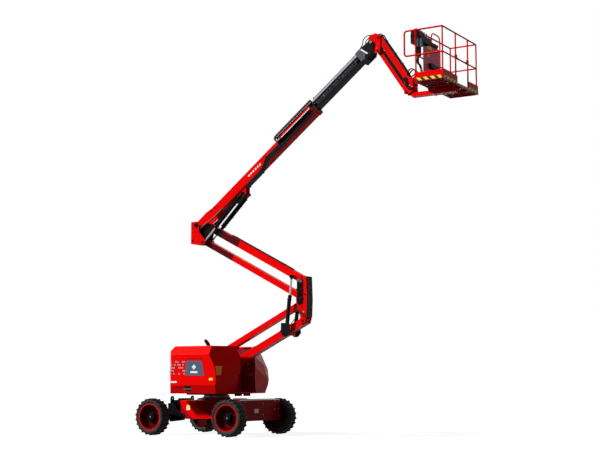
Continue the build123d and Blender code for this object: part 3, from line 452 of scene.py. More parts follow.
def glossPaint(name, colour, roughness=0.38, dust=0.01, specular=paintLook["specular"], blackened=None):
    # sprayed enamel: faint orange peel, duller patches and a little dust; blackened paints some of it black,
    # and on the rims adds a painted shade and a painted highlight
    paint = Paint(name)
    patches = paint.noise(paintLook["patchScale"], 4.0, 0.6)
    film = paint.noise(9.0, 5.0, 0.65)
    dusty = paint.scaled(film * 0.6 + patches * 0.4, 0.5, 0.74, 0.0, dust)
    base = paint.mix(dusty, paint.spread(patches, colour, 0.93, 1.05), paintLook["dust"])
    if blackened:
        base = blackened(paint, base)
    paint.bump(paint.noise(paintLook["peelScale"], 2.0), 0.02, 0.0006)
    return paint.finish(base, paint.scaled(film, 0.3, 0.7, roughness - 0.07, roughness + 0.12), specular)


def satinPaint(name, colour, roughness=0.4, dust=0.02, specular=0.04):
    # satin paint: fine grain, and dust that gathers on upper faces
    paint = Paint(name)
    grain = paint.noise(60.0, 4.0, 0.6)
    patches = paint.noise(2.4, 3.0, 0.6)
    rise = paint.axes(paint.add("NewGeometry", {}, "Normal"))[2]
    settled = paint.scaled(rise, 0.2, 1.0) * paint.scaled(patches, 0.35, 0.7, 0.2, 1.0) * dust
    base = paint.mix(settled, paint.spread(grain, colour, 0.8, 1.25), (0.24, 0.21, 0.18))
    paint.bump(grain, 0.1, 0.0008)
    return paint.finish(base, paint.scaled(patches, 0.3, 0.7, roughness - 0.08, roughness + 0.1), specular)


def bareMetal(name, colour, roughness=0.2, blackened=None):
    # turned or plated metal, with fine streaks and an oil film
    paint = Paint(name)
    lines = paint.noise(90.0, 3.0, 0.6)
    base = paint.spread(paint.noise(7.0), colour, 0.82, 1.0)
    if blackened:
        base = blackened(paint, base)
    paint.bump(lines, 0.04, 0.0004)
    return paint.finish(base, paint.scaled(lines, 0.3, 0.7, roughness * 0.7, roughness * 1.5), Metallic=1.0)


def rubber(name, colour, dust, roughness=0.75):
    # moulded rubber with ground dust worked into it
    paint = Paint(name)
    cloud = paint.noise(11.0, 5.0, 0.65)
    grit = paint.noise(160.0, 3.0, 0.6)
    base = paint.mix(paint.scaled(cloud, 0.38, 0.66), colour, dust)
    paint.bump(grit, 0.25, 0.0012)
    return paint.finish(base, paint.scaled(grit, 0.3, 0.7, roughness - 0.1, roughness + 0.12), 0.08)


def plastic(name, colour, roughness=0.4, grain=0.08, specular=0.05):
    # moulded plastic with a fine leather grain
    paint = Paint(name)
    cells = paint.add("TexVoronoi", {"Vector": paint.spot(), "Scale": 520.0}, "Distance")
    paint.bump(cells, grain, 0.0005)
    rough = paint.scaled(cells, 0.1, 0.6, roughness - 0.05, roughness + 0.1)
    return paint.finish(paint.spread(paint.noise(4.0), colour, 0.85, 1.15), rough, specular)


def thinFilm(name, colour, roughness=0.3, grain=0.02):
    return plastic(name, colour, roughness, grain, 0.15)


def stripedFilm(name, light, dark, pitch):
    # slanted warning stripes: the sum of the three coordinates, wrapped at the pitch
    paint = Paint(name)
    x, y, z = paint.axes()
    band = (x - y + z).wrapped(pitch, 0.0) > pitch / 2
    worn = paint.noise(30.0, 4.0, 0.7)
    pale = paint.mix(paint.scaled(worn, 0.35, 0.75), light, [c * 0.7 for c in light])
    return paint.finish(paint.mix(band, pale, dark), 0.4, 0.2)


def frameBlack(paint, base):
    # the steer end of the frame is black: its axle block, and the tie-down lugs above the frame's sides
    x, y, z = paint.axes()
    middle = float(slewPoint[0])
    lugs = (y.size() > 0.3) * (z > 0.7) * (x < middle)
    return paint.mix(lugs.either(x < middle - 0.85), base, blackShade)


def rimShadeAndHighlight(paint, base):
    # a wheel is red outside its dish; behind it a painted shade makes it near black, and its flange is black
    # with a pale line, a painted highlight
    low, high = box("tyre_drive_far")
    centre, turn = (low + high) / 2, float(slewPoint[0])
    x, y, z = paint.axes()
    fore = (x - turn).size() - abs(float(centre[0]) - turn)
    rise = z - float(centre[2])
    radius = (fore * fore + rise * rise).root()
    # painted shade: the rim's inboard half is near black
    base = paint.mix(y.size() < float(centre[1]) - 0.02, base, (0.05, 0.002, 0.003))
    base = paint.mix(radius > paintLook["wheelRed"], base, blackShade)
    # painted highlight: a pale ring near the flange's edge
    line = (radius > paintLook["highlightLine"][0]) * (radius < paintLook["highlightLine"][1])
    return paint.mix(line, base, (0.22, 0.2, 0.19))


def eyeBlack(paint, base):
    # the eyes at the riser rods' upper ends are painted black
    eyeFoot = float(box("riser_rod_near")[1][2]) - paintLook["rodEye"]
    return paint.mix(paint.axes()[2] > eyeFoot, base, blackShade)


red, steel, blackShade = (0.8, 0.001, 0.001), (0.44, 0.45, 0.47), (0.006, 0.005, 0.006)
redPaint = glossPaint("redPaint", red, 0.3, 0.02)
coverPaint = glossPaint("coverPaint", red, 0.3, 0.015, 0.04)
rimPaint = glossPaint("rimPaint", red, 0.3, 0.02, blackened=rimShadeAndHighlight)
deepRedPaint = glossPaint("deepRedPaint", (0.34, 0.002, 0.004), dust=0.02)
# a deep red for painted shade, on the upper arm's and link's ends by the upright
shadeRedPaint = glossPaint("shadeRedPaint", (0.085, 0.003, 0.006), 0.4)
wallPaint = glossPaint("wallPaint", (0.26, 0.014, 0.026), 0.4)
# a near-black red: painted shade over the wheels' deep dishes
dishShadePaint = glossPaint("dishShadePaint", (0.1, 0.002, 0.004))
framePaint = glossPaint("framePaint", (0.34, 0.003, 0.005), dust=0.03, blackened=frameBlack)
castRed = satinPaint("castRed", (0.34, 0.004, 0.006), 0.5)
blackPaint = satinPaint("blackPaint", blackShade)
greyPaint = satinPaint("greyPaint", (0.06, 0.063, 0.066))
chrome = bareMetal("rodChrome", steel)
riserChrome = bareMetal("riserChrome", steel, blackened=eyeBlack)
zinc = bareMetal("zincPlate", (0.4, 0.4, 0.41), 0.34)
machined = bareMetal("machinedSteel", (0.16, 0.16, 0.165), 0.38)
treadRubber = rubber("treadRubber", (0.009, 0.008, 0.008), (0.036, 0.033, 0.031))
wallRubber = rubber("wallRubber", (0.018, 0.016, 0.014), (0.05, 0.042, 0.036), 0.68)
hoseRubber = plastic("hoseRubber", (0.006, 0.006, 0.007), 0.42, 0.05, 0.08)
greyHose = plastic("greyHose", (0.18, 0.165, 0.16), 0.5, 0.05, 0.08)
blackPlastic = plastic("blackPlastic", (0.007, 0.007, 0.008), 0.42)
noseGrey = plastic("noseGrey", (0.085, 0.09, 0.1), 0.4, 0.03)
# for the inner boom's band and line: a pipe's grey, lightened as a painted highlight
bandGreySheen = plastic("bandGreySheen", (0.26, 0.31, 0.34), 0.4, 0.03)
paleGreySheen = plastic("paleGreySheen", (0.7, 0.74, 0.76), 0.4, 0.03)
greyPlastic = plastic("greyPlastic", (0.11, 0.11, 0.116))
railGrey = plastic("railGrey", (0.46, 0.43, 0.52), 0.35, 0.03)
slateFilm = thinFilm("slateFilm", (0.065, 0.11, 0.17))
tealFilm = thinFilm("tealFilm", (0.03, 0.42, 0.48), 0.35)
whiteFilm = thinFilm("whiteFilm", (0.8, 0.82, 0.82))
yellowFilm = thinFilm("yellowFilm", (0.95, 0.82, 0.05))
amberFilm = thinFilm("amberFilm", (0.95, 0.38, 0.03))
greenFilm = thinFilm("greenFilm", (0.02, 0.35, 0.08))
redFilm = thinFilm("redFilm", (0.8, 0.005, 0.005))
mauveSheet = thinFilm("mauveSheet", (0.42, 0.05, 0.1), 0.38, 0.04)
warningFilm = stripedFilm("warningFilm", (0.95, 0.72, 0.06), (0.02, 0.015, 0.015), 0.16)
print("finishes mixed")

nodeFinish = [
    # finish, nodes that keep their own form; a star stands for near and far
    (redPaint, "lower_arm lower_link upper_arm upper_link knee upright boom_outer boom_head"),
    (redPaint, "jib_upper_arm jib_lower_arm jib_end platform_support platform_rails turntable_frame"),
    (redPaint, "chassis_wing_* toe_boards gate_bar"),
    (rimPaint, "rim_steer_* rim_drive_*"),
    (wallPaint, "partition_*"),
    (coverPaint, "cover_*"),
    (framePaint, "chassis_frame"),
    (deepRedPaint, "drive_end_box platform_floor"),
    (castRed, "counterweight side_weight_*"),
    (blackPaint, "boom_inner slew_ring chain_tray exhaust steer_axle steer_cylinder tie_rod knuckle_*"),
    (blackPaint, "riser_barrels lift_barrels jib_barrel"),
    (riserChrome, "riser_rod_*"),
    (chrome, "lift_rod_* jib_rod"),
    (greyPaint, "engine"),
    (blackPlastic, "hydraulic_tank control_console"),
    (greyPlastic, "energy_chain"),
    (mauveSheet, "back_panel"),
    (treadRubber, "tyre_steer_* tyre_drive_*"),
]


def spelled(names):
    # the names in a line, with each star as near and far
    for name in names.split():
        yield from [name.replace("*", tag) for tag in tags.values()] if "*" in name else [name]


for finish, names in nodeFinish:
    for nodeName in spelled(names):
        for materialSlot in frame["nodes"][nodeName].material_slots:
            materialSlot.material = finish
print("nodes painted")

easedNodes = [
    # width of the rounded edges in metres, nodes
    (0.008, "cover_*"),
    (0.002, "knee upright"),
    (0.003, "boom_outer"),
    (0.004, "lower_arm lower_link upper_arm upper_link"),
    (0.002, "boom_head jib_upper_arm jib_lower_arm jib_end"),
    (0.006, "chassis_wing_*"),
    (0.012, "counterweight side_weight_*"),
    (0.01, "engine"),
    (0.015, "hydraulic_tank"),
]
for width, names in easedNodes:
    for nodeName in spelled(names):
        easedNode(nodeName, width)
print("edges rounded")

tyreLook = dict(
    facets=22,  # lugs on each half of the tread
    aroundSteps=88,
    radius=0.424,
    # (radius, distance from the middle plane) of the carcass, from the tread to the bead
    half=[
        (0.402, 0.0), (0.402, 0.06), (0.399, 0.105), (0.392, 0.126), (0.378, 0.137), (0.362, 0.1425),
        (0.358, 0.1395), (0.35, 0.1395), (0.346, 0.141), (0.332, 0.137), (0.329, 0.133), (0.322, 0.132),
        (0.318, 0.128), (0.309, 0.118), (0.301, 0.104),
    ],
    # a lug from the middle to the shoulder and down the side: y, top radius, base radius, offset, half width
    lug=[
        (0.005, 0.424, 0.398, -0.015, 0.0155), (0.045, 0.424, 0.398, -0.0055, 0.0165),
        (0.09, 0.4235, 0.397, 0.005, 0.0175), (0.122, 0.4205, 0.392, 0.0125, 0.0185),
        (0.137, 0.408, 0.38, 0.015, 0.018), (0.1425, 0.388, 0.366, 0.015, 0.016),
    ],
    # the lug's six corners, as shares of its half width: a base, a chamfer and a top on each face
    corners=[-1.12, -0.94, -0.82, 0.82, 0.94, 1.12],
    chamfer=0.004,
    tuck=(0.13, 0.012),  # beyond this distance from the middle, the lug's base lies this much further in
)


def makeTyre(name, centre, body):
    half = tyreLook["half"]
    section = half + [(r, -y) for r, y in reversed(half[1:])]
    carcass = turnedPart(section, centre, across, tyreLook["aroundSteps"], closed=True)
    piece("tyre_" + name + "_carcass", [carcass], wallRubber, body)
    y, top, low, offset, width = (column[:, None] for column in np.array(tyreLook["lug"]).T)
    turn = (offset + width * np.array(tyreLook["corners"])) / tyreLook["radius"]
    radius = np.concatenate([low, top - tyreLook["chamfer"], top, top, top - tyreLook["chamfer"], low], 1)
    base = y - tyreLook["tuck"][1] * (y > tyreLook["tuck"][0])
    lugs = []
    for side in sides:
        spread = side * np.concatenate([base] + [y] * 4 + [base], 1)
        grid = centre + np.stack([radius * np.sin(turn), spread, -radius * np.cos(turn)], -1)
        lugs.append(spun(gridPart(grid, wrapV=True, capU=True), centre, across, tyreLook["facets"]))
    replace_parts(piece("tyre_" + name + "_lugs", lugs, treadRubber, body), "tyre_" + name)


wheelLook = dict(
    nuts=10,
    nutCircle=0.14,
    capBolts=6,
    capCircle=0.056,
    # sections are (radius, distance outwards from the wheel's middle plane)
    dish=[
        (0.098, -0.0155), (0.2812, -0.029), (0.2812, 0.11), (0.2785, 0.11), (0.2785, -0.0265),
        (0.098, -0.013),
    ],
    ribs=[(0.19, -0.0215), (0.2, -0.0175), (0.212, -0.0178), (0.222, -0.0235)],
    cap=[
        (0.112, -0.012), (0.11, 0.02), (0.0872, 0.064), (0.0735, 0.08), (0.03, 0.0812), (0.024, 0.088),
        (0.012, 0.089),
    ],
    # a nut's discs: foot, radius, thickness, facets
    nut=[(-0.019, 0.021, 0.006, 16), (-0.014, 0.019, 0.018, 6), (0.002, 0.009, 0.016, 12)],
    stem=[(0.236, -0.028), (0.226, 0.03)],
    stemRadius=0.006,
    capBolt=(0.0795, 0.014),  # foot and size
    plug=(0.086, 0.016, 0.008, 6),  # foot, radius, thickness, facets
)


def makeWheelFittings(name, centre, body, out):
    # rings over the dish and its ribs, in painted shade
    rings = [turnedPart(wheelLook[part], centre, out, 64, closed=True) for part in ("dish", "ribs")]
    piece("dishShade_" + name, rings, dishShadePaint, body)
    piece("hubCap_" + name, [turnedPart(wheelLook["cap"], centre, out, 40)], blackPaint, body)
    foot = centre + wheelLook["nutCircle"] * upwards
    nut = joined([discPart(foot + start * out, out, *sizes) for start, *sizes in wheelLook["nut"]])
    start, size = wheelLook["capBolt"]
    bolt = boltPart(centre + wheelLook["capCircle"] * upwards + start * out, out, size)
    parts = [spun(nut, centre, out, wheelLook["nuts"]), spun(bolt, centre, out, wheelLook["capBolts"])]
    piece("wheelNuts_" + name, parts, blackPaint, body)
    path = [centre + [x, 0, 0] + y * out for x, y in wheelLook["stem"]]
    stem = tubePart(path, wheelLook["stemRadius"], 8, upwards)
    start, *sizes = wheelLook["plug"]
    plug = discPart(centre + start * out, out, *sizes)
    piece("wheelGlints_" + name, [stem, plug], zinc, body)


for wheelName in spelled("steer_* drive_*"):
    middle, wheelBody = sum(box("tyre_" + wheelName)) / 2, "wheel_" + wheelName
    makeTyre(wheelName, middle, wheelBody)
    makeWheelFittings(wheelName, middle, wheelBody, math.copysign(1, middle[1]) * across)
print("wheels made")

# in the tables below a box is three (low, high) pairs: s along its member, n square to it and y across
chassisLook = dict(
    ringBolts=28,
    ringFoot=(0, 0.86, 0.316),
    ringBolt=0.022,
    kingpin=(0.566, 0.8),  # n and y
    kingpinCap=(0.034, 0.01),  # radius and thickness
    kingpinBolt=0.024,
    hubBolts=(0.9255, 0.104, 0.018, 12),  # y, circle, size, count
    endBolts=(1.215, (0.6, 0.78), (-0.8, -0.62, 0.62, 0.8), 0.024),  # s, n, y, size
    dots=(1.2152, (0.73, 0.479), 0.132, 0.02, 0.004),  # s, n, y, radius, thickness
    gussetPlate=(0.6105, 0.008),  # y and thickness
    motorY=0.862,
    axleX=1.0765,
    axleZ=0.424,
    gusset=[
        (-0.959, 0.733), (-0.768, 0.735), (-0.679, 0.573), (-0.445, 0.461), (-0.473, 0.345), (-0.9, 0.3),
        (-0.955, 0.524),
    ],
    motor=[(0.126, 0), (0.126, 0.055), (0.114, 0.0632)],
    # the axle's swivel plate, a valve block and the drive motors' cover inside the end box's openings
    blocks=[
        ((-0.98, -0.86), (0.8, 0.842), (-0.2, 0.2)),
        ((0.64, 0.9), (0.8, 0.85), (-0.26, -0.06)),
        ((0.64, 0.76), (0.8, 0.835), (0.04, 0.24)),
    ],
    # a pale strip along the end box's upper edge, a painted highlight, and blank plates on the box and the
    # frame's side
    trim=[
        ("chassisEdgeHighlight", zinc, 0, [
            ((1.2152, 1.219), (0.812, 0.826), (-0.84, 0.84)),
            ((0.935, 1.21), (0.8352, 0.8375), (-0.856, -0.842)),
        ]),
        ("chassisPlates", whiteFilm, 0, [
            ((1.2152, 1.2175), (0.517, 0.611), (-0.224, -0.056)),
            ((-0.427, -0.325), (0.577, 0.64), (-0.6125, -0.6102)),
        ]),
        ("wingPlateTop", yellowFilm, 0, [((-0.427, -0.325), (0.641, 0.692), (-0.6125, -0.6102))]),
    ],
    steeringHose=[
        (-0.852, 0.5, 0.1), (-0.93, 0.585, 0.13), (-1.06, 0.592, 0.2), (-1.16, 0.56, 0.22),
        (-1.2115, 0.509, 0.2),
    ],
    hoseRadius=0.01,
    hoseApart=0.028,
    # the slew gear and its pinion: centre, radius, tooth depth, teeth, thickness
    gear=((0, 0.872), 0.294, 0.011, 84, 0.04),
    pinion=((0, 0.868, -0.356), 0.04, 0.01, 14, 0.048),
)


def gearPart(place, radius, depth, teeth, thickness):
    # radius plus the tooth height, which is a raised cosine cut off at both ends, at two heights
    t = fullTurn(teeth * 8)
    reach = radius + np.clip(0.5 + 1.1 * np.cos(teeth * t), 0, 1) * depth
    rim = np.stack([reach * np.cos(t), reach * np.sin(t), 0 * t], -1)
    heights = np.array([0.0, thickness])[:, None, None] * upwards
    return gridPart(level.at(*place) + rim + heights, wrapV=True, capU=True)


def boxSet(member, rows):
    return [member.box(*row) for row in rows]


def boxPieces(member, body, rows):
    # pieces made of boxes, from rows of a name, a finish, a bevel and the boxes
    for name, finish, bevel, boxes in rows:
        piece(name, boxSet(member, boxes), finish, body, bevel)


def makeChassis():
    look = chassisLook
    ringBolt = boltPart(level.at(*look["ringFoot"]), upwards, look["ringBolt"])
    bolts = [spun(ringBolt, level.at(0, 0), upwards, look["ringBolts"])]
    motors = []
    for side in sides:
        n, y = look["kingpin"]
        kingpin = level.at(-look["axleX"], n, side * y)
        bolts.append(discPart(kingpin, upwards, *look["kingpinCap"]))
        bolts.append(boltPart(kingpin + look["kingpinCap"][1] * upwards, upwards, look["kingpinBolt"]))
        y, circle, size, count = look["hubBolts"]
        hub = level.at(look["axleX"], look["axleZ"], side * y)
        bolts.append(spun(boltPart(hub + [circle, 0, 0], side * across, size), hub, across, count))
        start = level.at(look["axleX"], look["axleZ"], side * look["motorY"])
        motors.append(turnedPart(look["motor"], start, side * across, 40))
    s, heights, widths, size = look["endBolts"]
    bolts += [boltPart(level.at(s, n, y), level.along, size) for y in widths for n in heights]
    gussets = level.plates(look["gusset"], *look["gussetPlate"])
    piece("chassisGussets", gussets, blackPaint, "chassis", bevel=0.002)
    piece("chassisBolts", bolts, machined, "chassis")
    piece("slewGear", [gearPart(*look["gear"])], machined, "chassis", bevel=0)
    piece("chassisBlocks", motors + boxSet(level, look["blocks"]), blackPaint, "chassis", bevel=0.004)
    boxPieces(level, "chassis", look["trim"])
    s, heights, y, *sizes = look["dots"]
    dots = [discPart(level.at(s, n, y), level.along, *sizes) for n in heights]
    piece("chassisDots", dots, greenFilm, "chassis")
    # two hoses on each side, to the steering cylinder
    runs = []
    for side in sides:
        path = [level.at(s, n, side * y) for s, n, y in look["steeringHose"]]
        runs += hoses(path, look["hoseRadius"], ((0, 0, 0), (0, side * look["hoseApart"], 0)))
    piece("steeringHoses", runs, hoseRubber, "chassis")


makeChassis()
print("chassis dressed")

tableLook = dict(
    gearbox=[(0.03, 0.0), (0.03, 0.012), (0.078, 0.012), (0.078, 0.04), (0.06, 0.044)],
    # the support legs and the guards under the hood's front
    guards=[
        ((0.7, 0.77), (0.9, 0.9598), (-0.28, -0.08)), ((0.7, 0.77), (0.9, 0.9598), (0.08, 0.28)),
        ((-0.3, 0.4), (0.93, 0.9598), (-0.78, -0.7)), ((-0.3, 0.4), (0.93, 0.9598), (0.7, 0.78)),
    ],
    # riser hoses rise from the table's middle beside the lower arm
    hose=[(0.3, 0.992), (0.3, 1.12), (0.22, 1.25), (0.1, 1.33)],
    hoseY=0.15,
    hosePitch=0.032,
    hoseRadius=0.012,
    # small plates and buttons on the wall beyond the gap, which shows past the riser
    wallY=0.2938,
    triangleFilm=0.002,
    button=(0.014, 0.004),  # radius and thickness
    triangle=[(0.651, 1.363), (0.834, 1.363), (0.819, 1.468)],
    buttons=[(0.685, 1.644), (0.686, 1.527), (0.686, 1.434)],
    # the exhaust's clips, and a thick heat sleeve round its slanted end
    clips=[((-0.095, 0.003), (z, z + 0.03), (-0.288, -0.216)) for z in (1.35, 1.78)],
    sleeve=[(-0.045, 2.06), (-0.08, 2.105), (-0.115, 2.15), (-0.15, 2.186)],
    sleeveRadii=[0.034, 0.043, 0.043, 0.04],
    shadowFilmY=-0.252,
)


def makeTurntable():
    look, body = tableLook, "turntable"
    place, *_, thickness = chassisLook["pinion"]
    piece("slewPinion", [gearPart(*chassisLook["pinion"])], machined, body, bevel=0)
    gearbox = turnedPart(look["gearbox"], level.at(*place) + thickness * upwards, upwards, 32)
    piece("slewGearbox", [gearbox], blackPaint, body)
    piece("tableGuards", boxSet(level, look["guards"]), blackPaint, body, bevel=0.004)
    offsets = [(0, look["hosePitch"] * k, 0) for k in range(4)]
    runs = hoses(level.run(look["hose"], look["hoseY"]), look["hoseRadius"], offsets)
    piece("tableHoses", runs, hoseRubber, body)


def makePartitions():
    look, body = tableLook, "turntable"
    triangle = platePart(level.run(look["triangle"], look["wallY"]), -look["triangleFilm"] * across)
    piece("wallTriangle", [triangle], redFilm, body, bevel=0)
    places = level.run(look["buttons"], look["wallY"])
    piece("wallButtons", [discPart(point, -across, *look["button"]) for point in places], zinc, body)
    piece("exhaustClips", boxSet(level, look["clips"]), blackPaint, body, bevel=0.003)
    sleeve = tubePart(level.run(look["sleeve"], look["shadowFilmY"]), look["sleeveRadii"], 20)
    piece("exhaustSleeve", [sleeve], blackPaint, body)


makeTurntable()

hoodLook = dict(
    sideY=1.1,
    leanFrom=1.15,  # below this height the outer face leans in by a share of the drop
    lean=0.398,
    film=0.0016,
    proud=0.0003,
    labelProud=0.002,  # the marks and the handle lie over other plates
    handleProud=0.004,
    gap=0.0004,  # between a sloping face and what lies on it
    panel=[(-0.092, 1.702), (0.317, 1.698), (0.35, 1.68), (0.418, 1.372), (-0.087, 1.372)],
    label=[(0.035, 1.425), (0.235, 1.425), (0.235, 1.47), (0.035, 1.47)],
    diamond=(0.135, 1.565, 0.062),  # centre and half width
    # rectangles with rounded corners: s, n, corner radius
    strip=((-0.53, -0.345), (1.205, 1.243), 0.008),
    # two grooves and the handle's recess, as flat black films of painted shade
    grooveShades=[
        ((-0.064, 0.36), (1.744, 1.76), 0.007),
        ((-0.454, 0.029), (1.092, 1.106), 0.006),
        ((-0.14, 0.05), (1.015, 1.135), 0.03),
    ],
    handle=((-0.165, 0.055), (1.048, 1.082), 0.01),
    plate=((0.556, 0.661), (1.262, 1.314), 0.008),
    # small squares over a grid of rows and columns: a place is filled where its wave is high enough
    squares=(5, 9),
    squareFrom=(-0.525, 1.412),
    squareStep=(0.048, 0.068),
    rowShift=0.02,
    squareHalf=0.0155,
    squareWaves=(12.9, 4.1, 1.7),  # by the row, by the column and by their product
    squareShare=-0.15,
    # a blank plate on the slanted front face: its corners, the face's direction and a point on the face
    corner=[(0.721, -1.062, 1.583), (0.761, -0.882, 1.585), (0.774, -0.937, 1.381), (0.741, -1.087, 1.381)],
    cornerFacing=(0.97, -0.214, 0.118),
    cornerPoint=(0.961, -0.3, 0.996),
    cornerFilm=0.002,
    rearFacing=(-0.957, 0, -0.289),
    rearFoot=(-0.63, -0.72, 1.132),
    louvres=9,
    louvreFrom=0.06,
    louvrePitch=0.038,
    louvre=(0.32, 0.018, 0.003),  # length, height, thickness
    fastenerY=1.09,
    fastener=(0.009, 0.004, 12),
    fastenersAt=[(x, 1.862) for x in (-0.45, -0.15, 0.2, 0.5)],
)


def sidePlate(corners, side, proud=hoodLook["proud"]):
    # a thin plate on the hood's outer face
    s, n = np.array(corners, float).T
    y = hoodLook["sideY"] + hoodLook["lean"] * np.minimum(n - hoodLook["leanFrom"], 0.0) + proud
    return platePart(level.at(s, n, side * y), side * hoodLook["film"] * across)


def rounded(s, n, radius, steps=5):
    # a rectangle whose corners are quarter circles
    centres = [(s[k], n[j]) for k, j in ((1, 1), (0, 1), (0, 0), (1, 0))]
    points = []
    for k, (x, z) in enumerate(centres):
        x, z = x + (radius if k in (1, 2) else -radius), z + (radius if k > 1 else -radius)
        turn = k * math.pi / 2 + np.linspace(0, math.pi / 2, steps)
        points += list(zip(x + radius * np.cos(turn), z + radius * np.sin(turn)))
    return points


def makeHood(side):
    look, tag = hoodLook, tags[side]
    body, flip = "cover_" + tag, np.array([1, -side, 1])
    piece("hoodPanel_" + tag, [sidePlate(look["panel"], side)], slateFilm, body, bevel=0)
    s, n, half = look["diamond"]
    diamond = [(s + half * math.cos(t), n + half * math.sin(t)) for t in fullTurn(4)]
    marks = [sidePlate(outline, side, look["labelProud"]) for outline in (look["label"], diamond)]
    piece("hoodLabels_" + tag, marks + [sidePlate(rounded(*look["strip"]), side)], whiteFilm, body, bevel=0)
    row, column = np.indices(look["squares"])
    byRow, byColumn, byBoth = look["squareWaves"]
    filled = np.sin(byRow * row + byColumn * column + byBoth * row * column) > look["squareShare"]
    half = look["squareHalf"] * np.array([(-1, -1), (1, -1), (1, 1), (-1, 1)])
    squares = []
    for i, j in np.argwhere(filled):
        shift = np.array([j, i]) * look["squareStep"] + [look["rowShift"] * (i % 2), 0]
        squares.append(sidePlate(look["squareFrom"] + shift + half, side))
    piece("hoodDots_" + tag, squares, tealFilm, body, bevel=0)
    # painted shade of the grooves and the handle's recess
    grooveShades = [sidePlate(rounded(*row), side) for row in look["grooveShades"]]
    piece("hoodGrooveShades_" + tag, grooveShades, blackPlastic, body, bevel=0)
    handle = sidePlate(rounded(*look["handle"]), side, look["handleProud"])
    piece("hoodHandle_" + tag, [handle], greyHose, body, bevel=0.001)
    piece("hoodPlate_" + tag, [sidePlate(rounded(*look["plate"]), side)], yellowFilm, body, bevel=0)
    facing = look["cornerFacing"] * flip / np.linalg.norm(look["cornerFacing"])
    corners = np.array(look["corner"]) * flip
    drop = (look["cornerPoint"] * flip - corners) @ facing + look["gap"]
    corners += drop[:, None] * facing + level.start
    piece("frontPlate_" + tag, [platePart(corners, look["cornerFilm"] * facing)], amberFilm, body, bevel=0)
    # louvres on the rear face, and a row of fasteners along the upper edge
    rear = look["rearFacing"] / np.linalg.norm(look["rearFacing"])
    down = np.cross(rear, across)
    length, height, thickness = look["louvre"]
    foot = look["rearFoot"] * flip + level.start + rear * look["gap"] - across * length / 2
    rise = [look["louvreFrom"] + look["louvrePitch"] * k for k in range(look["louvres"])]
    louvres = [boxPart(foot - down * z, length * across, down * height, rear * thickness) for z in rise]
    piece("rearLouvres_" + tag, louvres, blackPlastic, body, bevel=0)
    heads = level.discs(look["fastenersAt"], look["fastenerY"], *look["fastener"], only=(side,))
    piece("hoodFasteners_" + tag, heads, redPaint, body)


for side in sides:
    makeHood(side)
makePartitions()
print("hood dressed")

pinLook = dict(
    cap=0.006,  # how far a cap reaches past its pin
    thickness=0.01,
    flat=0.002,  # the thickness of a cap that other parts pass close by
    bolt=0.02,
)


def pinCaps(member, points, y, radius, flat=False):
    # a round cap over each end of a cross pin, with its bolt unless the cap is flat
    parts, thickness = [], pinLook["flat" if flat else "thickness"]
    for point in points:
        place = [member.local(point)]
        parts += member.discs(place, y, radius + pinLook["cap"], thickness)
        parts += [] if flat else member.bolts(place, y + thickness, pinLook["bolt"])
    return parts


cylinderLook = dict(
    # sections are (radius beyond the barrel's or the rod's, distance along)
    gland=[(0.001, 0), (0.006, 0.004), (0.006, 0.04)],
    wiper=[(0.01, 0.046), (0.007, 0.054)],
    port=[(0.001, 0), (0.005, 0.003), (0.005, 0.022), (0.001, 0.025)],
    glandBack=0.045,
    portFrom=0.115,
    portBack=0.1,
    # the pipe's run from the barrel's foot and mouth, its height over the barrel and its radius
    pipeFrom=(0.129, 0.19),
    pipeBack=0.088,
    pipeRise=0.012,
    pipeRadius=0.006,
    # a port's block and a clip: length, (from, to) beyond the barrel's radius, half width
    block=(0.028, (-0.004, 0.02), 0.014),
    clip=(0.02, (-0.003, 0.022), 0.012),
    clips=(0.3, 0.62),  # as shares of the barrel's length
)


def dressCylinder(name, base, rodJoint, y, barrel, radius, rod, body):
    # for each barrel: the gland nut at its mouth, a wiper, a port block at each end and a pipe between them
    look, line = cylinderLook, Member(base, way(rodJoint))
    gland = [(radius + r, h) for r, h in look["gland"]] + [(rod + r, h) for r, h in look["wiper"]]
    port = [(radius + r, h) for r, h in look["port"]]
    places = (*look["pipeFrom"], barrel * 0.5, barrel - look["pipeBack"])
    run = [(s, radius + look["pipeRise"]) for s in places]
    glands, pipes = [], []

    def holder(kind, s, mid):
        length, (low, high), half = look[kind]
        return line.box((s, s + length), (radius + low, radius + high), (mid - half, mid + half))

    for mid in sorted({-y, y}):
        glands.append(turnedPart(gland, line.at(barrel - look["glandBack"], 0, mid), line.along, 32))
        for s in (look["portFrom"], barrel - look["portBack"]):
            glands.append(turnedPart(port, line.at(s, 0, mid), line.along, 32))
            pipes.append(holder("block", s, mid))
        pipes += hoses(line.run(run, mid), look["pipeRadius"])
        pipes += [holder("clip", barrel * share, mid) for share in look["clips"]]
    piece(name + "Glands", glands, blackPaint, body)
    piece(name + "Pipes", pipes, blackPaint, body)


dressCylinder("riser", riserBase, "riser_rod_slide", 0.19, 0.86, 0.04, 0.025, "riser_barrels")
dressCylinder("lift", liftPin, "lift_rod_slide", 0.135, 1.09, 0.035, 0.022, "lift_barrels")
dressCylinder("jib", jibLowStart, "jib_rod_slide", 0, 0.88, 0.032, 0.018, "jib_barrel")

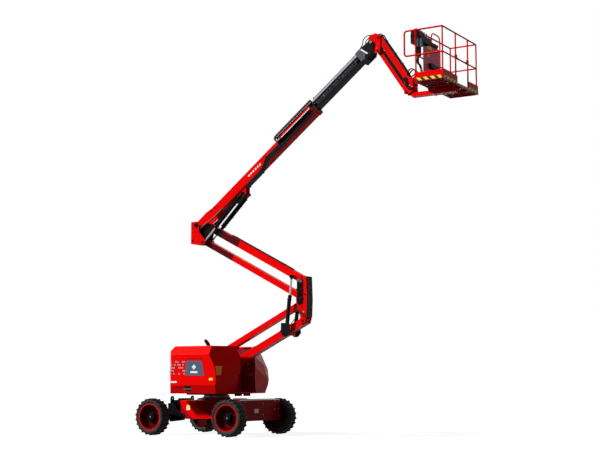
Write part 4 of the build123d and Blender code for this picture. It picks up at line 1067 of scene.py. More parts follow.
riserLook = dict(
    hoseRadius=0.01,
    hoseOffsets=[(0, (k - 1.5) * 0.026, 0) for k in range(4)],
    lowerHose=[(0.35, 0.092), (0.9, 0.094), (1.8, 0.094), (2.7, 0.092)],
    lowerClips=[((s, s + 0.04), (0.08, 0.108), (-0.06, 0.06)) for s in (0.7, 1.5, 2.3)],
    upperHose=[(0.7, 0.0945), (1.0, 0.096), (2.0, 0.096), (2.6, 0.095)],
    upperClips=[((s, s + 0.04), (0.0853, 0.108), (-0.06, 0.06)) for s in (0.8, 1.5, 2.3)],
    # painted shadow of the boom on the ends by the upright, as black and deep red films: member, body, name,
    # finish, run along the member, half height
    shadowFilms=[
        (upperArm, "upper_arm", "Black", blackPaint, (0.06, 0.46), 0.084),
        (upperArm, "upper_arm", "Deep", shadeRedPaint, (0.462, 1.0), 0.084),
        (upperLink, "upper_link", "Deep", shadeRedPaint, (0.06, 0.9), 0.069),
    ],
    shadowFilmY=(0.0803, 0.0813),
    # y and radius of the caps over the cross pins
    kneeCaps=(0.14, 0.024),
    uprightCaps=(0.202, 0.024),
    liftCaps=(0.166, 0.024),
    footCaps=(0.2205, 0.03),
    # the black bracket round the riser cylinders' foot, from the slew axis and the ground
    bracket=[(1.93, 2.56), (2.155, 2.553), (2.185, 2.335), (2.095, 2.246), (1.988, 2.248), (1.925, 2.34)],
    bracketPlate=(0.2275, 0.008),  # y and thickness
)


def makeRiser():
    look = riserLook
    pins = (kneeLow, kneeUpLink, kneeUp, kneeLow + linkStart - armStart)
    caps = pinCaps(kneeLevel, pins, *look["kneeCaps"], True)
    piece("kneePinCaps", caps, blackPaint, "knee")
    caps = pinCaps(uprightLevel, [boomPivot], *look["uprightCaps"])
    piece("uprightPinCaps", caps, blackPaint, "upright")
    piece("liftPinCaps", pinCaps(boom, [liftPin], *look["liftCaps"]), blackPaint, "boom_outer")
    piece("riserPinCaps", pinCaps(lowerArm, [riserBase], *look["footCaps"]), blackPaint, "lower_arm")
    # hoses along the tops of both arms
    for name, member, body in (("lower", lowerArm, "lower_arm"), ("upper", upperArm, "upper_arm")):
        runs = hoses(member.run(look[name + "Hose"]), look["hoseRadius"], look["hoseOffsets"])
        piece(name + "ArmHoses", runs, hoseRubber, body)
        piece(name + "ArmClips", boxSet(member, look[name + "Clips"]), blackPaint, body, bevel=0.002)
    # films of painted shadow on the ends by the upright
    for member, body, name, finish, run, half in look["shadowFilms"]:
        films = member.boxes(run, (-half, half), look["shadowFilmY"])
        piece(body + "Sleeve" + name, films, finish, body, bevel=0)
    outline = [lowerArm.local(point) for point in level.run(look["bracket"])]
    plates = lowerArm.plates(outline, *look["bracketPlate"])
    piece("riserFootPlates", plates, blackPaint, "lower_arm", bevel=0.002)


makeRiser()

kneeLook = dict(
    plateY=0.1325,
    # the dark lining over the web, which faces the way that the boom reaches
    web=[(0.0905, 1.008), (0.1105, 0.5), (0.0955, 0.092), (0.0985, 0.092), (0.1135, 0.5), (0.0935, 1.008)],
    # red brackets on the web, which bows from its middle height: (y, z), (width, height)
    bow=(0.1135, 0.04, 0.5),  # s at the middle, its loss with the distance, and the middle
    bracketDepth=(-0.004, 0.005),
    brackets=[
        ((-0.06, 0.86), (0.05, 0.1)), ((0.02, 0.76), (0.06, 0.04)), ((-0.08, 0.7), (0.05, 0.1)),
        ((0.03, 0.62), (0.05, 0.05)),
    ],
    # (s, n) from here on are from the slew axis and the ground
    hose=[(2.318, 3.54), (2.318, 3.42), (2.318, 3.15), (2.318, 3.03)],
    hoseY=0.152,
    hoseRadius=0.0125,
    hoseOffsets=[(0.027 * k, 0, -0.008 * k) for k in range(5)],
    ferrule=[(0.0145, -0.045), (0.0145, 0.0), (0.011, 0.004), (0.011, 0.022)],
    clamps=[((2.293, 2.45), (n, n + 0.035), (0.1325, 0.1635)) for n in (3.3, 3.1)],
    boltsAt=[(2.36, 2.992), (2.415, 2.923), (2.42, 3.6), (2.5, 3.2)],
    bolt=0.03,
    # a small amber marker and a green one beside the lower pins
    markers=[("kneeAmber_", (2.47, 2.8), 0.018, amberFilm), ("kneeGreen_", (2.4, 2.74), 0.016, greenFilm)],
    markerFilm=0.003,
    # hoses that cross the side plates below the upright bundle, and the round end above them
    slantHose=[(2.249, 2.87), (2.335, 2.835), (2.43, 2.76), (2.514, 2.704)],
    slantY=0.137,
    slantRadius=0.01,
    slantOffsets=[(0, 0, 0), (0.014, 0, 0.024), (-0.01, 0, -0.025)],
    roundEnd=((2.372, 3.045), 0.075, 0.01, 32),  # place, radius, thickness, facets
    # loops that bend from the lower arm to the knee, and on up the knee: about its lowest pin
    loopY=0.107,
    loopOffsets=[(0, 0, 0), (0.018, 0, 0.018)],
    loopRadius=0.009,
    loopFrom=[(2.56, 0.094, 0.052), (2.68, 0.1, 0.09)],  # on the lower arm, with y
    loopBend=((2.6, 0), (0, 0.15)),  # where the bend starts on the arm and ends on the knee
    loopEnd=[(-0.12, 0.17), (-0.06, 0.33)],
    middle=[(-0.06, 0.33), (0.03, 0.45), (0.045, 0.62), (0.03, 0.8)],
)


def makeKnee():
    look, plateY = kneeLook, kneeLook["plateY"]
    lining = platePart(kneeLevel.run(look["web"], -plateY), 2 * plateY * across)
    piece("kneeWebLining", [lining], blackPaint, "knee", bevel=0)
    bits, (most, loss, middleZ), (back, front) = [], look["bow"], look["bracketDepth"]
    for (y, z), (width, height) in look["brackets"]:
        s = most - loss * abs(z - middleZ)
        bits.append(kneeLevel.box((s + back, s + front), (z, z + height), (y, y + width)))
    piece("kneeWebBrackets", bits, redPaint, "knee", bevel=0.002)
    for side, tag in tags.items():
        path = level.run(look["hose"], side * look["hoseY"])
        piece("kneeHoses_" + tag, hoses(path, look["hoseRadius"], look["hoseOffsets"]), hoseRubber, "knee")
        tops = path[0] + np.array(look["hoseOffsets"])
        ferrules = [turnedPart(look["ferrule"], top, upwards, 16) for top in tops]
        piece("kneeFerrules_" + tag, ferrules, greyHose, "knee")
        clamps = [part for row in look["clamps"] for part in level.boxes(*row, only=(side,))]
        piece("kneeClamps_" + tag, clamps, blackPlastic, "knee", bevel=0.003)
        bolts = level.bolts(look["boltsAt"], plateY, look["bolt"], (side,))
        piece("kneeBolts_" + tag, bolts, blackPaint, "knee")
        for name, place, radius, finish in look["markers"]:
            marker = level.discs([place], plateY, radius, look["markerFilm"], only=(side,))
            piece(name + tag, marker, finish, "knee", bevel=0)
    for side, tag in tags.items():
        path = level.run(look["slantHose"], side * look["slantY"])
        run = hoses(path, look["slantRadius"], look["slantOffsets"])
        piece("kneeSlantHoses_" + tag, run, hoseRubber, "knee")
        place, *sizes = look["roundEnd"]
        stop = level.discs([place], plateY, *sizes, only=(side,))
        piece("kneeRoundEnd_" + tag, stop, blackPlastic, "knee")
    start, end = look["loopBend"]
    blend = ("lower_arm", "knee", lowerArm.at(*start), kneeLevel.at(*end))
    loop, middle = [], []
    for side in sides:
        y = side * look["loopY"]
        run = [lowerArm.at(s, n, side * away) for s, n, away in look["loopFrom"]]
        loop += hoses(run + kneeLevel.run(look["loopEnd"], y), look["loopRadius"], look["loopOffsets"])
        middle += hoses(kneeLevel.run(look["middle"], y), look["loopRadius"], look["loopOffsets"])
    piece("kneeLowerLoop", loop, hoseRubber, blend)
    piece("kneeMiddleHoses", middle, hoseRubber, "knee")


makeKnee()
print("riser dressed")

uprightLook = dict(
    # outline about the upright's lower pin, for black films of painted shade on the inner plates
    lining=[
        (-0.33, -0.034), (-0.33, 0.328), (-0.191, 0.328), (-0.051, 0.438), (0.107, 0.458), (0.166, 0.4),
        (0.156, 0.311), (0.071, 0.001), (0.017, -0.068),
    ],
    liningY=(0.0943, 0.0822),
    liningFilm=0.0015,
    faceY=0.1942,
    lowPin=[(-0.012, -0.005)],
    smallCollar=[(-0.3, 0.048)],
    # radius, thickness, facets
    boomCollar=(0.062, 0.006, 32),
    smallSizes=(0.022, 0.004),
    lowCollar=(0.036, 0.008, 32),
    lowBolt=0.026,
    bolt=0.018,
    boltsAt=[(-0.31, 0.45), (-0.31, 0.25), (-0.18, 0.45)],
    valves=((-0.27, -0.16), (0.02, 0.09), (0.104, 0.168)),
    # pale hoses on each side that bend from the upright to the boom, below its fork
    hoseFoot=[(-0.215, 0.09), (-0.19, 0.24), (-0.05, 0.37)],
    hoseHead=[(0.45, -0.175), (0.62, -0.178), (0.8, -0.176)],
    hoseY=0.124,
    hoseRadius=0.011,
    hoseStep=(0.026, 0.004),  # from the first hose to the second, outwards and upwards
    hoseBend=((-0.15, 0.2), (0.45, -0.17)),  # where the bend starts on the upright and ends on the boom
    fitting=[(0.014, -0.012), (0.014, 0.03), (0.012, 0.035)],
)


def makeUpright():
    look, faceY = uprightLook, uprightLook["faceY"]
    # black films on the inner plates: painted shade
    linings = []
    for y in look["liningY"]:
        linings += uprightLevel.plates(look["lining"], y, look["liningFilm"])
    piece("uprightShadeFilms", linings, blackPaint, "upright", bevel=0)
    dark = uprightLevel.discs([uprightLevel.local(boomPivot)], faceY, *look["boomCollar"])
    dark += uprightLevel.discs(look["smallCollar"], faceY, *look["smallSizes"])
    dark += uprightLevel.discs(look["lowPin"], faceY, *look["lowCollar"])
    bolts = uprightLevel.bolts(look["lowPin"], faceY + look["lowCollar"][1], look["lowBolt"])
    bolts += uprightLevel.bolts(look["boltsAt"], faceY, look["bolt"])
    piece("uprightCollars", dark, blackPaint, "upright")
    piece("uprightBolts", bolts, redPaint, "upright")
    piece("uprightValves", uprightLevel.boxes(*look["valves"]), blackPlastic, "upright", bevel=0.004)
    (start, end), (outwards, rise) = look["hoseBend"], look["hoseStep"]
    blend = ("upright", "boom_outer", uprightLevel.at(*start), boom.at(*end))
    for side, tag in tags.items():
        y, offsets = side * look["hoseY"], np.array([(0, 0, 0), (0, side * outwards, rise)])
        path = uprightLevel.run(look["hoseFoot"], y) + boom.run(look["hoseHead"], y)
        piece("boomFootHoses_" + tag, hoses(path, look["hoseRadius"], offsets), greyHose, blend)
        ends = [turnedPart(look["fitting"], path[0] + offset, upwards, 12) for offset in offsets]
        piece("boomFootFittings_" + tag, ends, greyHose, "upright")


makeUpright()

boomLook = dict(
    # the hose bundle leaves the boom's underside ahead of the lift lug, and climbs to its near face
    bundle=[
        (1.66, -0.176, -0.1), (1.9, -0.182, -0.104), (2.14, -0.176, -0.112), (2.3, -0.12, -0.127),
        (2.46, -0.052, -0.127), (2.7, -0.046, -0.127), (3.4, -0.046, -0.127), (4.035, -0.046, -0.127),
    ],
    hoseRadius=0.0115,
    hosePitch=0.0245,
    hoseCount=5,
    blocks=[
        ((1.64, 1.7), (-0.292, -0.16), (-0.118, -0.075)), ((2.14, 2.185), (-0.292, -0.15), (-0.132, -0.09)),
    ],
    clampsFrom=(2.42, 2.95, 3.48, 3.98),
    clamp=(0.045, (-0.162, -0.03), (-0.145, -0.11)),  # length, n, y
    # screws on the clamps, under the blocks and on the boom's foot: places, then sizes
    screwsAt=(2.4425, 2.9725, 3.5025, 4.0025),
    screwRows=(-0.038, -0.155),
    screw=(0.145, 0.014),  # y and size
    underScrews=[(1.67, -0.118), (2.16, -0.132)],  # (s, y)
    underScrew=(-0.225, 0.02),  # n and size
    footScrews=[(0.5, 0.02), (0.62, 0.02)],
    footScrew=(0.1102, 0.026),  # y and size
    # the bright guide along the chain's lower run, and the red flange above it
    guides=[
        ("chainGuide", whiteFilm, 0, [((3.06, 4.03), (-0.014, 0.004), (-0.1895, -0.1872))]),
        ("chainFlange", redPaint, 0, [((3.02, 4.06), (0.006, 0.046), (-0.1895, -0.1872))]),
    ],
    mouthS=4.09,
    # the collar's bolts: on its sides, and above and below
    collarSides=(-0.12, -0.05),
    collarY=0.1202,
    collarAcross=(-0.06, 0.0, 0.06),
    collarHeights=(0.0652, -0.1702),
    collarBolt=0.022,
    pads=[((4.1402, 4.15), (-0.165, 0.06), (y - 0.014, y + 0.014)) for y in (-0.103, 0.103)]
    + [((4.1402, 4.15), n, (-0.117, 0.117)) for n in ((0.034, 0.062), (-0.168, -0.112))],
    lug=[(1.31, -0.1605), (1.378, -0.314), (1.484, -0.314), (1.604, -0.1605)],
    lugPlate=(0.0845, 0.0015),  # y and thickness
    # the black wall that closes the chain's trough, and the collar's black cheek
    walls=[
        ("troughWall", blackPaint, 0, [((2.92, 4.14), (0.066, 0.128), (-0.1125, -0.1105))]),
        ("collarCheek", blackPaint, 0, [((4.046, 4.136), (-0.166, 0.062), (-0.1222, -0.1204))]),
    ],
    # a generic mark of slanted dashes in the place of letters
    dash=[(0, -0.074), (0.046, -0.074), (0.062, -0.032), (0.016, -0.032)],
    dashesFrom=[1.79 + 0.078 * k for k in range(6)],
    dashY=-0.1104,
    dashFilm=0.001,
    # between the two lift cylinders: a web at their upper end, and a guard along each barrel
    web=[((0.16, 0.3), (-0.012, 0.012), (-0.1005, 0.1005)), ((0.05, 0.16), (-0.012, 0.012), (-0.07, 0.07))],
    guard=((0.16, 1.05), (-0.056, -0.05), (0.098, 0.172)),
)


def makeBoom():
    look, body = boomLook, "boom_outer"
    runs = []
    for k in range(look["hoseCount"]):
        path = [boom.at(s, n - look["hosePitch"] * k, y) for s, n, y in look["bundle"]]
        runs += hoses(path, look["hoseRadius"])
    piece("boomBundle", runs, hoseRubber, body)
    blocks = boxSet(boom, look["blocks"])
    length, *clamp = look["clamp"]
    blocks += [boom.box((s, s + length), *clamp) for s in look["clampsFrom"]]
    piece("boomClamps", blocks, blackPlastic, body, bevel=0.003)
    places = [(s, n) for s in look["screwsAt"] for n in look["screwRows"]]
    screws = boom.bolts(places, *look["screw"], (-1,))
    n, size = look["underScrew"]
    screws += [boltPart(boom.at(s, n, y), -across, size) for s, y in look["underScrews"]]
    screws += boom.bolts(look["footScrews"], *look["footScrew"])
    piece("boomScrews", screws, blackPaint, body)
    boxPieces(boom, body, look["guides"])
    # collar bolts and wear pads at the mouth
    s, size, (top, bottom) = look["mouthS"], look["collarBolt"], look["collarHeights"]
    bolts = boom.bolts([(s, n) for n in look["collarSides"]], look["collarY"], size)
    for y in look["collarAcross"]:
        bolts.append(boltPart(boom.at(s, top, y), boom.up, size))
        bolts.append(boltPart(boom.at(s, bottom, y), -boom.up, size))
    piece("collarBolts", bolts, redPaint, body)
    piece("collarPads", boxSet(boom, look["pads"]), blackPlastic, body, bevel=0.002)
    piece("liftLugLining", [boom.plate(look["lug"], *look["lugPlate"])], blackPaint, body, bevel=0)
    boxPieces(boom, body, look["walls"])
    outlines = [[(start + s, n) for s, n in look["dash"]] for start in look["dashesFrom"]]
    dashes = [boom.plate(outline, look["dashY"], look["dashFilm"]) for outline in outlines]
    piece("boomDashes", dashes, whiteFilm, body, bevel=0)
    web = boxSet(liftLine, look["web"]) + liftLine.boxes(*look["guard"])
    piece("liftWeb", web, blackPaint, "lift_barrels", bevel=0.002)


makeBoom()

innerLook = dict(
    # a pale carrier rail over the inner boom, held at the nose: y, radius
    rails=[(-0.085, 0.011), (-0.035, 0.009)],
    rail=[(4.22, 0.155), (4.9, 0.155), (5.66, 0.155)],
    boxes=[
        ("carrierBrackets", blackPaint, 0.003, [
            ((5.645, 5.7), (0.14, 0.172), (-0.11, 0.02)),
            ((4.215, 4.245), (0.138, 0.172), (-0.1, -0.02)),
        ]),
        # a grey band with a pale upper line on the near face, the grey of a pipe lightened as a painted
        # highlight, thin enough to pass the collar
        ("innerBandSheen", bandGreySheen, 0, [((4.22, 5.54), (-0.04, 0.004), (-0.0854, -0.0852))]),
        ("innerLineSheen", paleGreySheen, 0, [((4.22, 5.54), (0.004, 0.009), (-0.0854, -0.0852))]),
        # the pale strip and the black cover plate below the carrier rail, held at the nose
        ("carrierStrip", railGrey, 0, [((4.145, 5.65), (0.0803, 0.122), (-0.124, -0.1225))]),
        ("carrierPlate", blackPaint, 0, [
            ((4.145, 5.65), (0.01, 0.08), (-0.124, -0.1225)),
            ((5.6, 5.655), (0.03, 0.12), (-0.1224, -0.086)),
        ]),
        # clips over the grey band
        ("innerClips", whiteFilm, 0, [
            ((4.437, 4.487), (-0.014, 0.026), (-0.0855, -0.0853)),
            ((5.081, 5.131), (-0.014, 0.026), (-0.0855, -0.0853)),
        ]),
    ],
    # the nose: grey side plates, a pale slanted bar and bolts
    nose=[(5.655, -0.11), (5.655, 0.14), (5.78, 0.14), (5.86, 0.12), (5.845, -0.03), (5.76, -0.12)],
    bar=[(5.8, 0.118), (5.835, 0.124), (5.9, -0.075), (5.868, -0.085)],
    boltsAt=[(5.69, 0.1), (5.69, -0.08), (5.78, 0.1), (5.8, -0.06)],
)


def makeInnerBoom():
    look, body = innerLook, "boom_inner"
    rails = [tubePart(boom.run(look["rail"], y), radius, 12) for y, radius in look["rails"]]
    piece("carrierRail", rails, railGrey, body)
    boxPieces(boom, body, look["boxes"])
    head = [boom.local(headPin)]
    bolts = boom.bolts(look["boltsAt"], 0.1435, 0.018) + boom.discs(head, 0.148, 0.034, 0.008)
    bolts += boom.bolts(head, 0.156, 0.022)
    piece("nosePlates", boom.plates(look["nose"], 0.1403, 0.003), noseGrey, body, bevel=0)
    piece("noseBars", boom.plates(look["bar"], 0.1435, 0.004), whiteFilm, body, bevel=0)
    piece("noseBolts", bolts, machined, body)


makeInnerBoom()
print("boom dressed")

jibLook = dict(
    hoseRadius=0.0105,
    # across the boom, clear of the jib rod's eye, which passes in the middle
    hoseOffsets=[(0, y, 0) for y in (-0.066, -0.044, 0.044, 0.066)],
    noseFoot=(5.69, 0.166),  # on the boom
    # where each bend starts on one body and ends on the next
    noseBend=((5.75, 0.1), (-0.02, 0.12)),
    headBend=((0.06, 0.18), (0.1, 0.08)),
    # hoses leave the nose, loop over the head and run down the jib's upper edge
    noseRun=[(-0.262, -0.02), (-0.232, 0.1), (-0.15, 0.172), (-0.055, 0.184), (0.06, 0.184)],
    headRun=[(0.06, 0.184), (0.15, 0.176)],
    jibFrom=[(-0.02, 0.098), (0.12, 0.086)],
    jibRun=[(0.12, 0.086), (0.5, 0.086), (0.9, 0.086), (1.1, 0.08), (1.215, 0.066)],
    clamps=[((s, s + 0.045), (0.0722, 0.104), (-0.072, 0.072)) for s in (0.114, 0.5, 0.8)],
    fitting=[(0.013, -0.03), (0.0135, 0.03), (0.0115, 0.034)],
    fittingAt=(0.05, 0.184),
    fittingRail=((-0.045, 0.08), (0.1622, 0.172), (-0.07, 0.07)),
    pinCaps=(0.106, 0.02),  # y and radius
    headBolts=[(-0.05, 0.12), (0.15, 0.12), (0.16, -0.1)],
    # y and size
    headBolt=(0.0982, 0.016),
    jibBolt=(0.0722, 0.014),
    endBolt=(0.0982, 0.03),
    groove=((0.06, 1.0), (-0.002, 0.006), (0.0722, 0.0735)),
    guard=((0.05, 1.15), (0.042, 0.105), (0.041, 0.047)),
    jibBolts=[(0.25, 0.045), (0.6, 0.045), (0.95, 0.045)],
    endBolts=[(0.085, 0.13), (0.15, 0.095)],
    # the rotary actuator's end rings
    ring=[(0.0725, 0.012), (0.079, 0.012), (0.079, 0.034), (0.0725, 0.034)],
    ringsAt=(0.0, 0.128, 0.264),
    actuatorDrop=0.011,  # its foot is this far below the jib's lower end pin
    # hoses down both sides of the jib's end, and loops over it to a manifold between its plates
    fall=[(-0.03, 0.33), (0.01, 0.24), (0.02, 0.16), (0.075, 0.09), (0.16, 0.07)],
    fallY=0.118,
    fallRadius=0.011,
    fallOffsets=[(0, 0, 0), (0.026, 0, 0.012), (-0.026, 0, -0.012)],
    loop=[(0.02, 0.366), (0.022, 0.45), (0.11, 0.52), (0.205, 0.46), (0.19, 0.38), (0.098, 0.334)],
    manifold=((0.058, 0.104), (0.312, 0.345), (0.033, 0.078)),
)


def makeHead():
    look, radius, offsets = jibLook, jibLook["hoseRadius"], jibLook["hoseOffsets"]
    run = [boom.at(*look["noseFoot"])] + headLevel.run(look["noseRun"])
    start, end = look["noseBend"]
    blend = ("boom_inner", "boom_head", boom.at(*start), headLevel.at(*end))
    piece("noseHoses", hoses(run, radius, offsets[::3]), hoseRubber, blend)
    run = headLevel.run(look["headRun"]) + jibUpper.run(look["jibFrom"])
    start, end = look["headBend"]
    blend = ("boom_head", "jib_upper_arm", headLevel.at(*start), jibUpper.at(*end))
    piece("headHoses", hoses(run, radius, offsets), hoseRubber, blend)
    run = hoses(jibUpper.run(look["jibRun"]), radius, offsets)
    piece("jibHoses", run, hoseRubber, "jib_upper_arm")
    piece("jibClamps", boxSet(jibUpper, look["clamps"]), blackPlastic, "jib_upper_arm", bevel=0.003)
    feet = [headLevel.at(*look["fittingAt"]) + offset for offset in offsets]
    fittings = [turnedPart(look["fitting"], foot, level.along, 12) for foot in feet]
    piece("headFittings", fittings + [headLevel.box(*look["fittingRail"])], blackPaint, "boom_head")
    caps = pinCaps(headLevel, (jibLowStart, jibUpStart), *look["pinCaps"], True)
    caps += headLevel.bolts(look["headBolts"], *look["headBolt"])
    piece("headPinCaps", caps, blackPaint, "boom_head")
    piece("jibGrooves", jibUpper.boxes(*look["groove"]), blackPaint, "jib_upper_arm", bevel=0)
    piece("jibGuards", jibLower.boxes(*look["guard"]), blackPaint, "jib_lower_arm", bevel=0)
    piece("jibBolts", jibUpper.bolts(look["jibBolts"], *look["jibBolt"]), redPaint, "jib_upper_arm")


def makeJibEnd():
    look, body = jibLook, "jib_end"
    piece("endPinCaps", pinCaps(endLevel, (jibLowEnd, jibUpEnd), *look["pinCaps"]), blackPaint, body)
    piece("endBolts", endLevel.bolts(look["endBolts"], *look["endBolt"]), zinc, body)
    foot = np.array([rotator[0], 0.0, jibLowEnd[2] - look["actuatorDrop"]])
    rings = [turnedPart(look["ring"], foot + z * upwards, upwards, 40, closed=True) for z in look["ringsAt"]]
    piece("actuatorRings", rings, blackPaint, body)
    for side, tag in tags.items():
        path = endLevel.run(look["fall"], side * look["fallY"])
        parts = hoses(path, look["fallRadius"], look["fallOffsets"])
        piece("endFallHoses_" + tag, parts, hoseRubber, body)
    parts = hoses(endLevel.run(look["loop"]), look["hoseRadius"], look["hoseOffsets"])
    piece("endHoses", parts, hoseRubber, body)
    piece("endManifold", endLevel.boxes(*look["manifold"]), blackPlastic, body, bevel=0.004)


makeHead()
makeJibEnd()
print("jib dressed")

platformLook = dict(
    # heights are from the floor's underside
    stripe=(0.018, 0.08),
    frontStripe=0.049,  # the front edge's film is whole up to this height and has a gap above it
    frontGap=(-0.192, 0.392),
    toeScrews=0.03,  # below the toe boards' upper edge
    # the console: s and n are from the middle of its case and from its upper side
    consoleTop=0.27,  # below the rails' highest point
    hood=[(-0.168, 0), (0.02, 0), (0.02, 0.05), (-0.02, 0.19), (-0.15, 0.165)],
    hoodInset=0.02,
    # boxes with y from the case's near side, and where the second ends, from its far side
    trimFront=((-0.16, 0.01), (0.02, 0.05), (0.012, 0.02)),
    trimBack=((-0.172, -0.165), (0.03, 0.12), 0.06),
    face=((0.002, 0.118), (-0.23, -0.062), (-0.012, -0.0003)),
    leverS=0.085,
    knobS=0.13,
    knob=(0.008, 0.014, 14),  # radius, thickness, facets
    stop=(0.045, 0.045),  # s, and y from the near side
    stopBase=(0.026, 0.006, 28),
    # sections are (radius, height)
    boot=[(0.026, 0), (0.02, 0.01), (0.023, 0.014), (0.014, 0.026), (0.016, 0.03), (0.008, 0.044)],
    lever=[(0.006, 0.03), (0.006, 0.085), (0.013, 0.1), (0.012, 0.115), (0.004, 0.121)],
    button=[(0.01, 0.006), (0.01, 0.02), (0.02, 0.022), (0.021, 0.03), (0.014, 0.037), (0.004, 0.039)],
    # the first one's distance from the console's near side, the pitch and the count
    leversAt=(0.08, 0.11, 3),
    knobsAt=(0.05, 0.04, 8),
    # cables from the console's foot to the floor: x from the console's middle, y, and the height over either
    cableTop=[(-0.067, -0.63, 0.01), (-0.075, -0.62, -0.14)],
    cable=[(-0.045, -0.56, 0.42), (-0.042, -0.42, 0.17), (-0.046, -0.16, 0.02), (-0.05, -0.1, -0.03)],
    cableRadius=0.012,
    cableOffsets=[(0, 0, 0), (0, 0.03, 0.002), (-0.026, 0.014, 0)],
    paddingAt=(0.004, 0.034),  # from the sheet's face and its upper edge
    paddingRadius=0.04,
    paddingRun=(-0.46, 0.12),
    ribs=9,
    ribHeight=0.1,  # as a share of the padding's radius
    # plates on the back sheet: s and n are from its front face and its lower edge
    yellowPlate=((0.0003, 0.0023), (0.693, 0.769), (-0.363, -0.114)),
    amberPlate=((0.0003, 0.0023), (0.513, 0.59), (-0.368, -0.22)),
    case=((0.0003, 0.06), (0.44, 0.54), (-0.275, 0.131)),  # n is from the floor's underside
    wing=(0.15, 0.0005),  # how far it reaches past the sheet's near edge, and its gap from it
    stud=(0.01, 0.004, 12),  # radius, thickness, facets
    studInset=0.03,
    studGap=0.0002,
    posts=0.03,  # from the floor's edges to a post's middle
    postFootN=0.0505,
    postFoot=[(0.0175, 0.0), (0.026, 0.0), (0.024, 0.012), (0.0175, 0.016)],
    # screws through the toe boards: size, inset, gap, and the front's, which are flat
    toeScrew=0.014,
    toeInset=0.1,
    toeGap=0.002,
    flatScrew=(0.008, 0.002, 12),
    # lanyard eyes: from the floor's sides and its rear edge, height, ring and wire radius
    eyeInset=0.25,
    eyeAt=(0.057, 0.3),
    eyeRing=(0.026, 0.006),
    eyeFoot=((0.03, 0.06), (0.318, 0.345), 0.012),
    # under the floor: support bolts, clips and tubes
    supportBolts=((0.05, 0.25, 0.45), -0.1002, (-0.078, 0.078), 0.026),  # x, height, y, size
    clipInset=(0.1, 0.09),
    clip=(0.018, 0.004, 12),
    tubeInset=(0.04, 0.1),
    tubeN=-0.014,
    tubeRadius=0.0135,
    tubesBetween=(-0.4, 0.4),
    pedalAt=(0.18, 0.0532),
    pedal=((0.01, 0.19), (0, 0.0318), (-0.52, -0.38)),
    guard=[(0.0, 0.0), (0.2, 0.0), (0.2, 0.03), (0.14, 0.115), (0.0, 0.115)],
    guardTop=((0, 0.14), (0.1118, 0.1158), (-0.535, -0.365)),
    grip=[(0.0175, 0), (0.0225, 0.004), (0.0225, 0.056), (0.0175, 0.06)],
)


def between(low, high, inset, count):
    return np.linspace(low + inset, high - inset, count)


def makeConsole(base):
    look, body = platformLook, "platform"
    boxLow, boxHigh = box("control_console")
    near, far = boxLow[1], boxHigh[1]
    midX, top = (boxLow[0] + boxHigh[0]) / 2, box("platform_rails")[1][2] - look["consoleTop"]
    desk = Member((midX, 0, top), forwards)
    inset = look["hoodInset"]
    hood = platePart(desk.run(look["hood"], near + inset), (far - near - 2 * inset) * across)
    piece("consoleHood", [hood], blackPlastic, body, bevel=0.006)
    s, n, (low, high) = look["trimFront"]
    trim = [desk.box(s, n, (near + low, near + high))]
    s, n, inset = look["trimBack"]
    trim.append(desk.box(s, n, (near + inset, far - inset)))
    piece("consoleTrim", trim, redPaint, body, bevel=0.001)
    s, n, (low, high) = look["face"]
    piece("consoleFace", [desk.box(s, n, (near + low, near + high))], slateFilm, body, bevel=0.004)
    start, pitch, count = look["leversAt"]
    feet = [desk.at(look["leverS"], 0, near + start + pitch * k) for k in range(count)]
    boots = [turnedPart(look["boot"], foot, upwards, 20) for foot in feet]
    levers = [turnedPart(look["lever"], foot, upwards, 16) for foot in feet]
    start, pitch, count = look["knobsAt"]
    feet = [desk.at(look["knobS"], 0, near + start + pitch * k) for k in range(count)]
    piece("leverBoots", boots, hoseRubber, body)
    piece("levers", levers, greyPlastic, body)
    piece("consoleKnobs", [discPart(foot, upwards, *look["knob"]) for foot in feet], zinc, body)
    s, y = look["stop"]
    stop = desk.at(s, 0, near + y)
    piece("stopBase", [discPart(stop, upwards, *look["stopBase"])], yellowFilm, body)
    piece("stopButton", [turnedPart(look["button"], stop, upwards, 28)], redFilm, body)
    path = [np.array([midX, 0, boxLow[2]]) + place for place in look["cableTop"]]
    path += [np.array([midX, 0, base]) + place for place in look["cable"]]
    runs = hoses(path, look["cableRadius"], look["cableOffsets"], level.along)
    piece("platformCables", runs, hoseRubber, body)
    return midX


def makeBackSheet(deck):
    look, body = platformLook, "platform"
    low, high = box("back_panel")
    # padding along the sheet's upper edge, blank plates and a dark box on the sheet
    wide = np.linspace(*look["paddingRun"], look["ribs"] * 4 + 1)
    wave = np.cos(np.linspace(0, 2 * math.pi * look["ribs"], len(wide)))
    ahead, above = look["paddingAt"]
    path = np.stack([np.full_like(wide, high[0] + ahead), wide, np.full_like(wide, high[2] + above)], -1)
    padding = tubePart(path, look["paddingRadius"] * (1 + look["ribHeight"] * wave), 14, upwards)
    piece("backPadding", [padding], hoseRubber, body)
    sheet = Member((high[0], 0, low[2]), forwards)
    start, end = look["wing"]
    wing = sheet.box((low[0] - high[0], 0), (0, high[2] - low[2]), (low[1] - start, low[1] - end))
    piece("sheetWing", [wing], mauveSheet, body, bevel=0)
    piece("backPlateYellow", [sheet.box(*look["yellowPlate"])], yellowFilm, body, bevel=0)
    piece("backPlateAmber", [sheet.box(*look["amberPlate"])], amberFilm, body, bevel=0)
    s, n, y = look["case"]
    piece("backCase", [deck.box((high[0] + s[0], high[0] + s[1]), n, y)], blackPlastic, body, bevel=0.006)
    heights = between(0, high[2] - low[2], look["studInset"], 2)
    places = [(z, y) for y in between(low[1], high[1], look["studInset"], 3) for z in heights]
    studs = [discPart(sheet.at(look["studGap"], z, y), level.along, *look["stud"]) for z, y in places]
    piece("sheetStuds", studs, blackPaint, body)


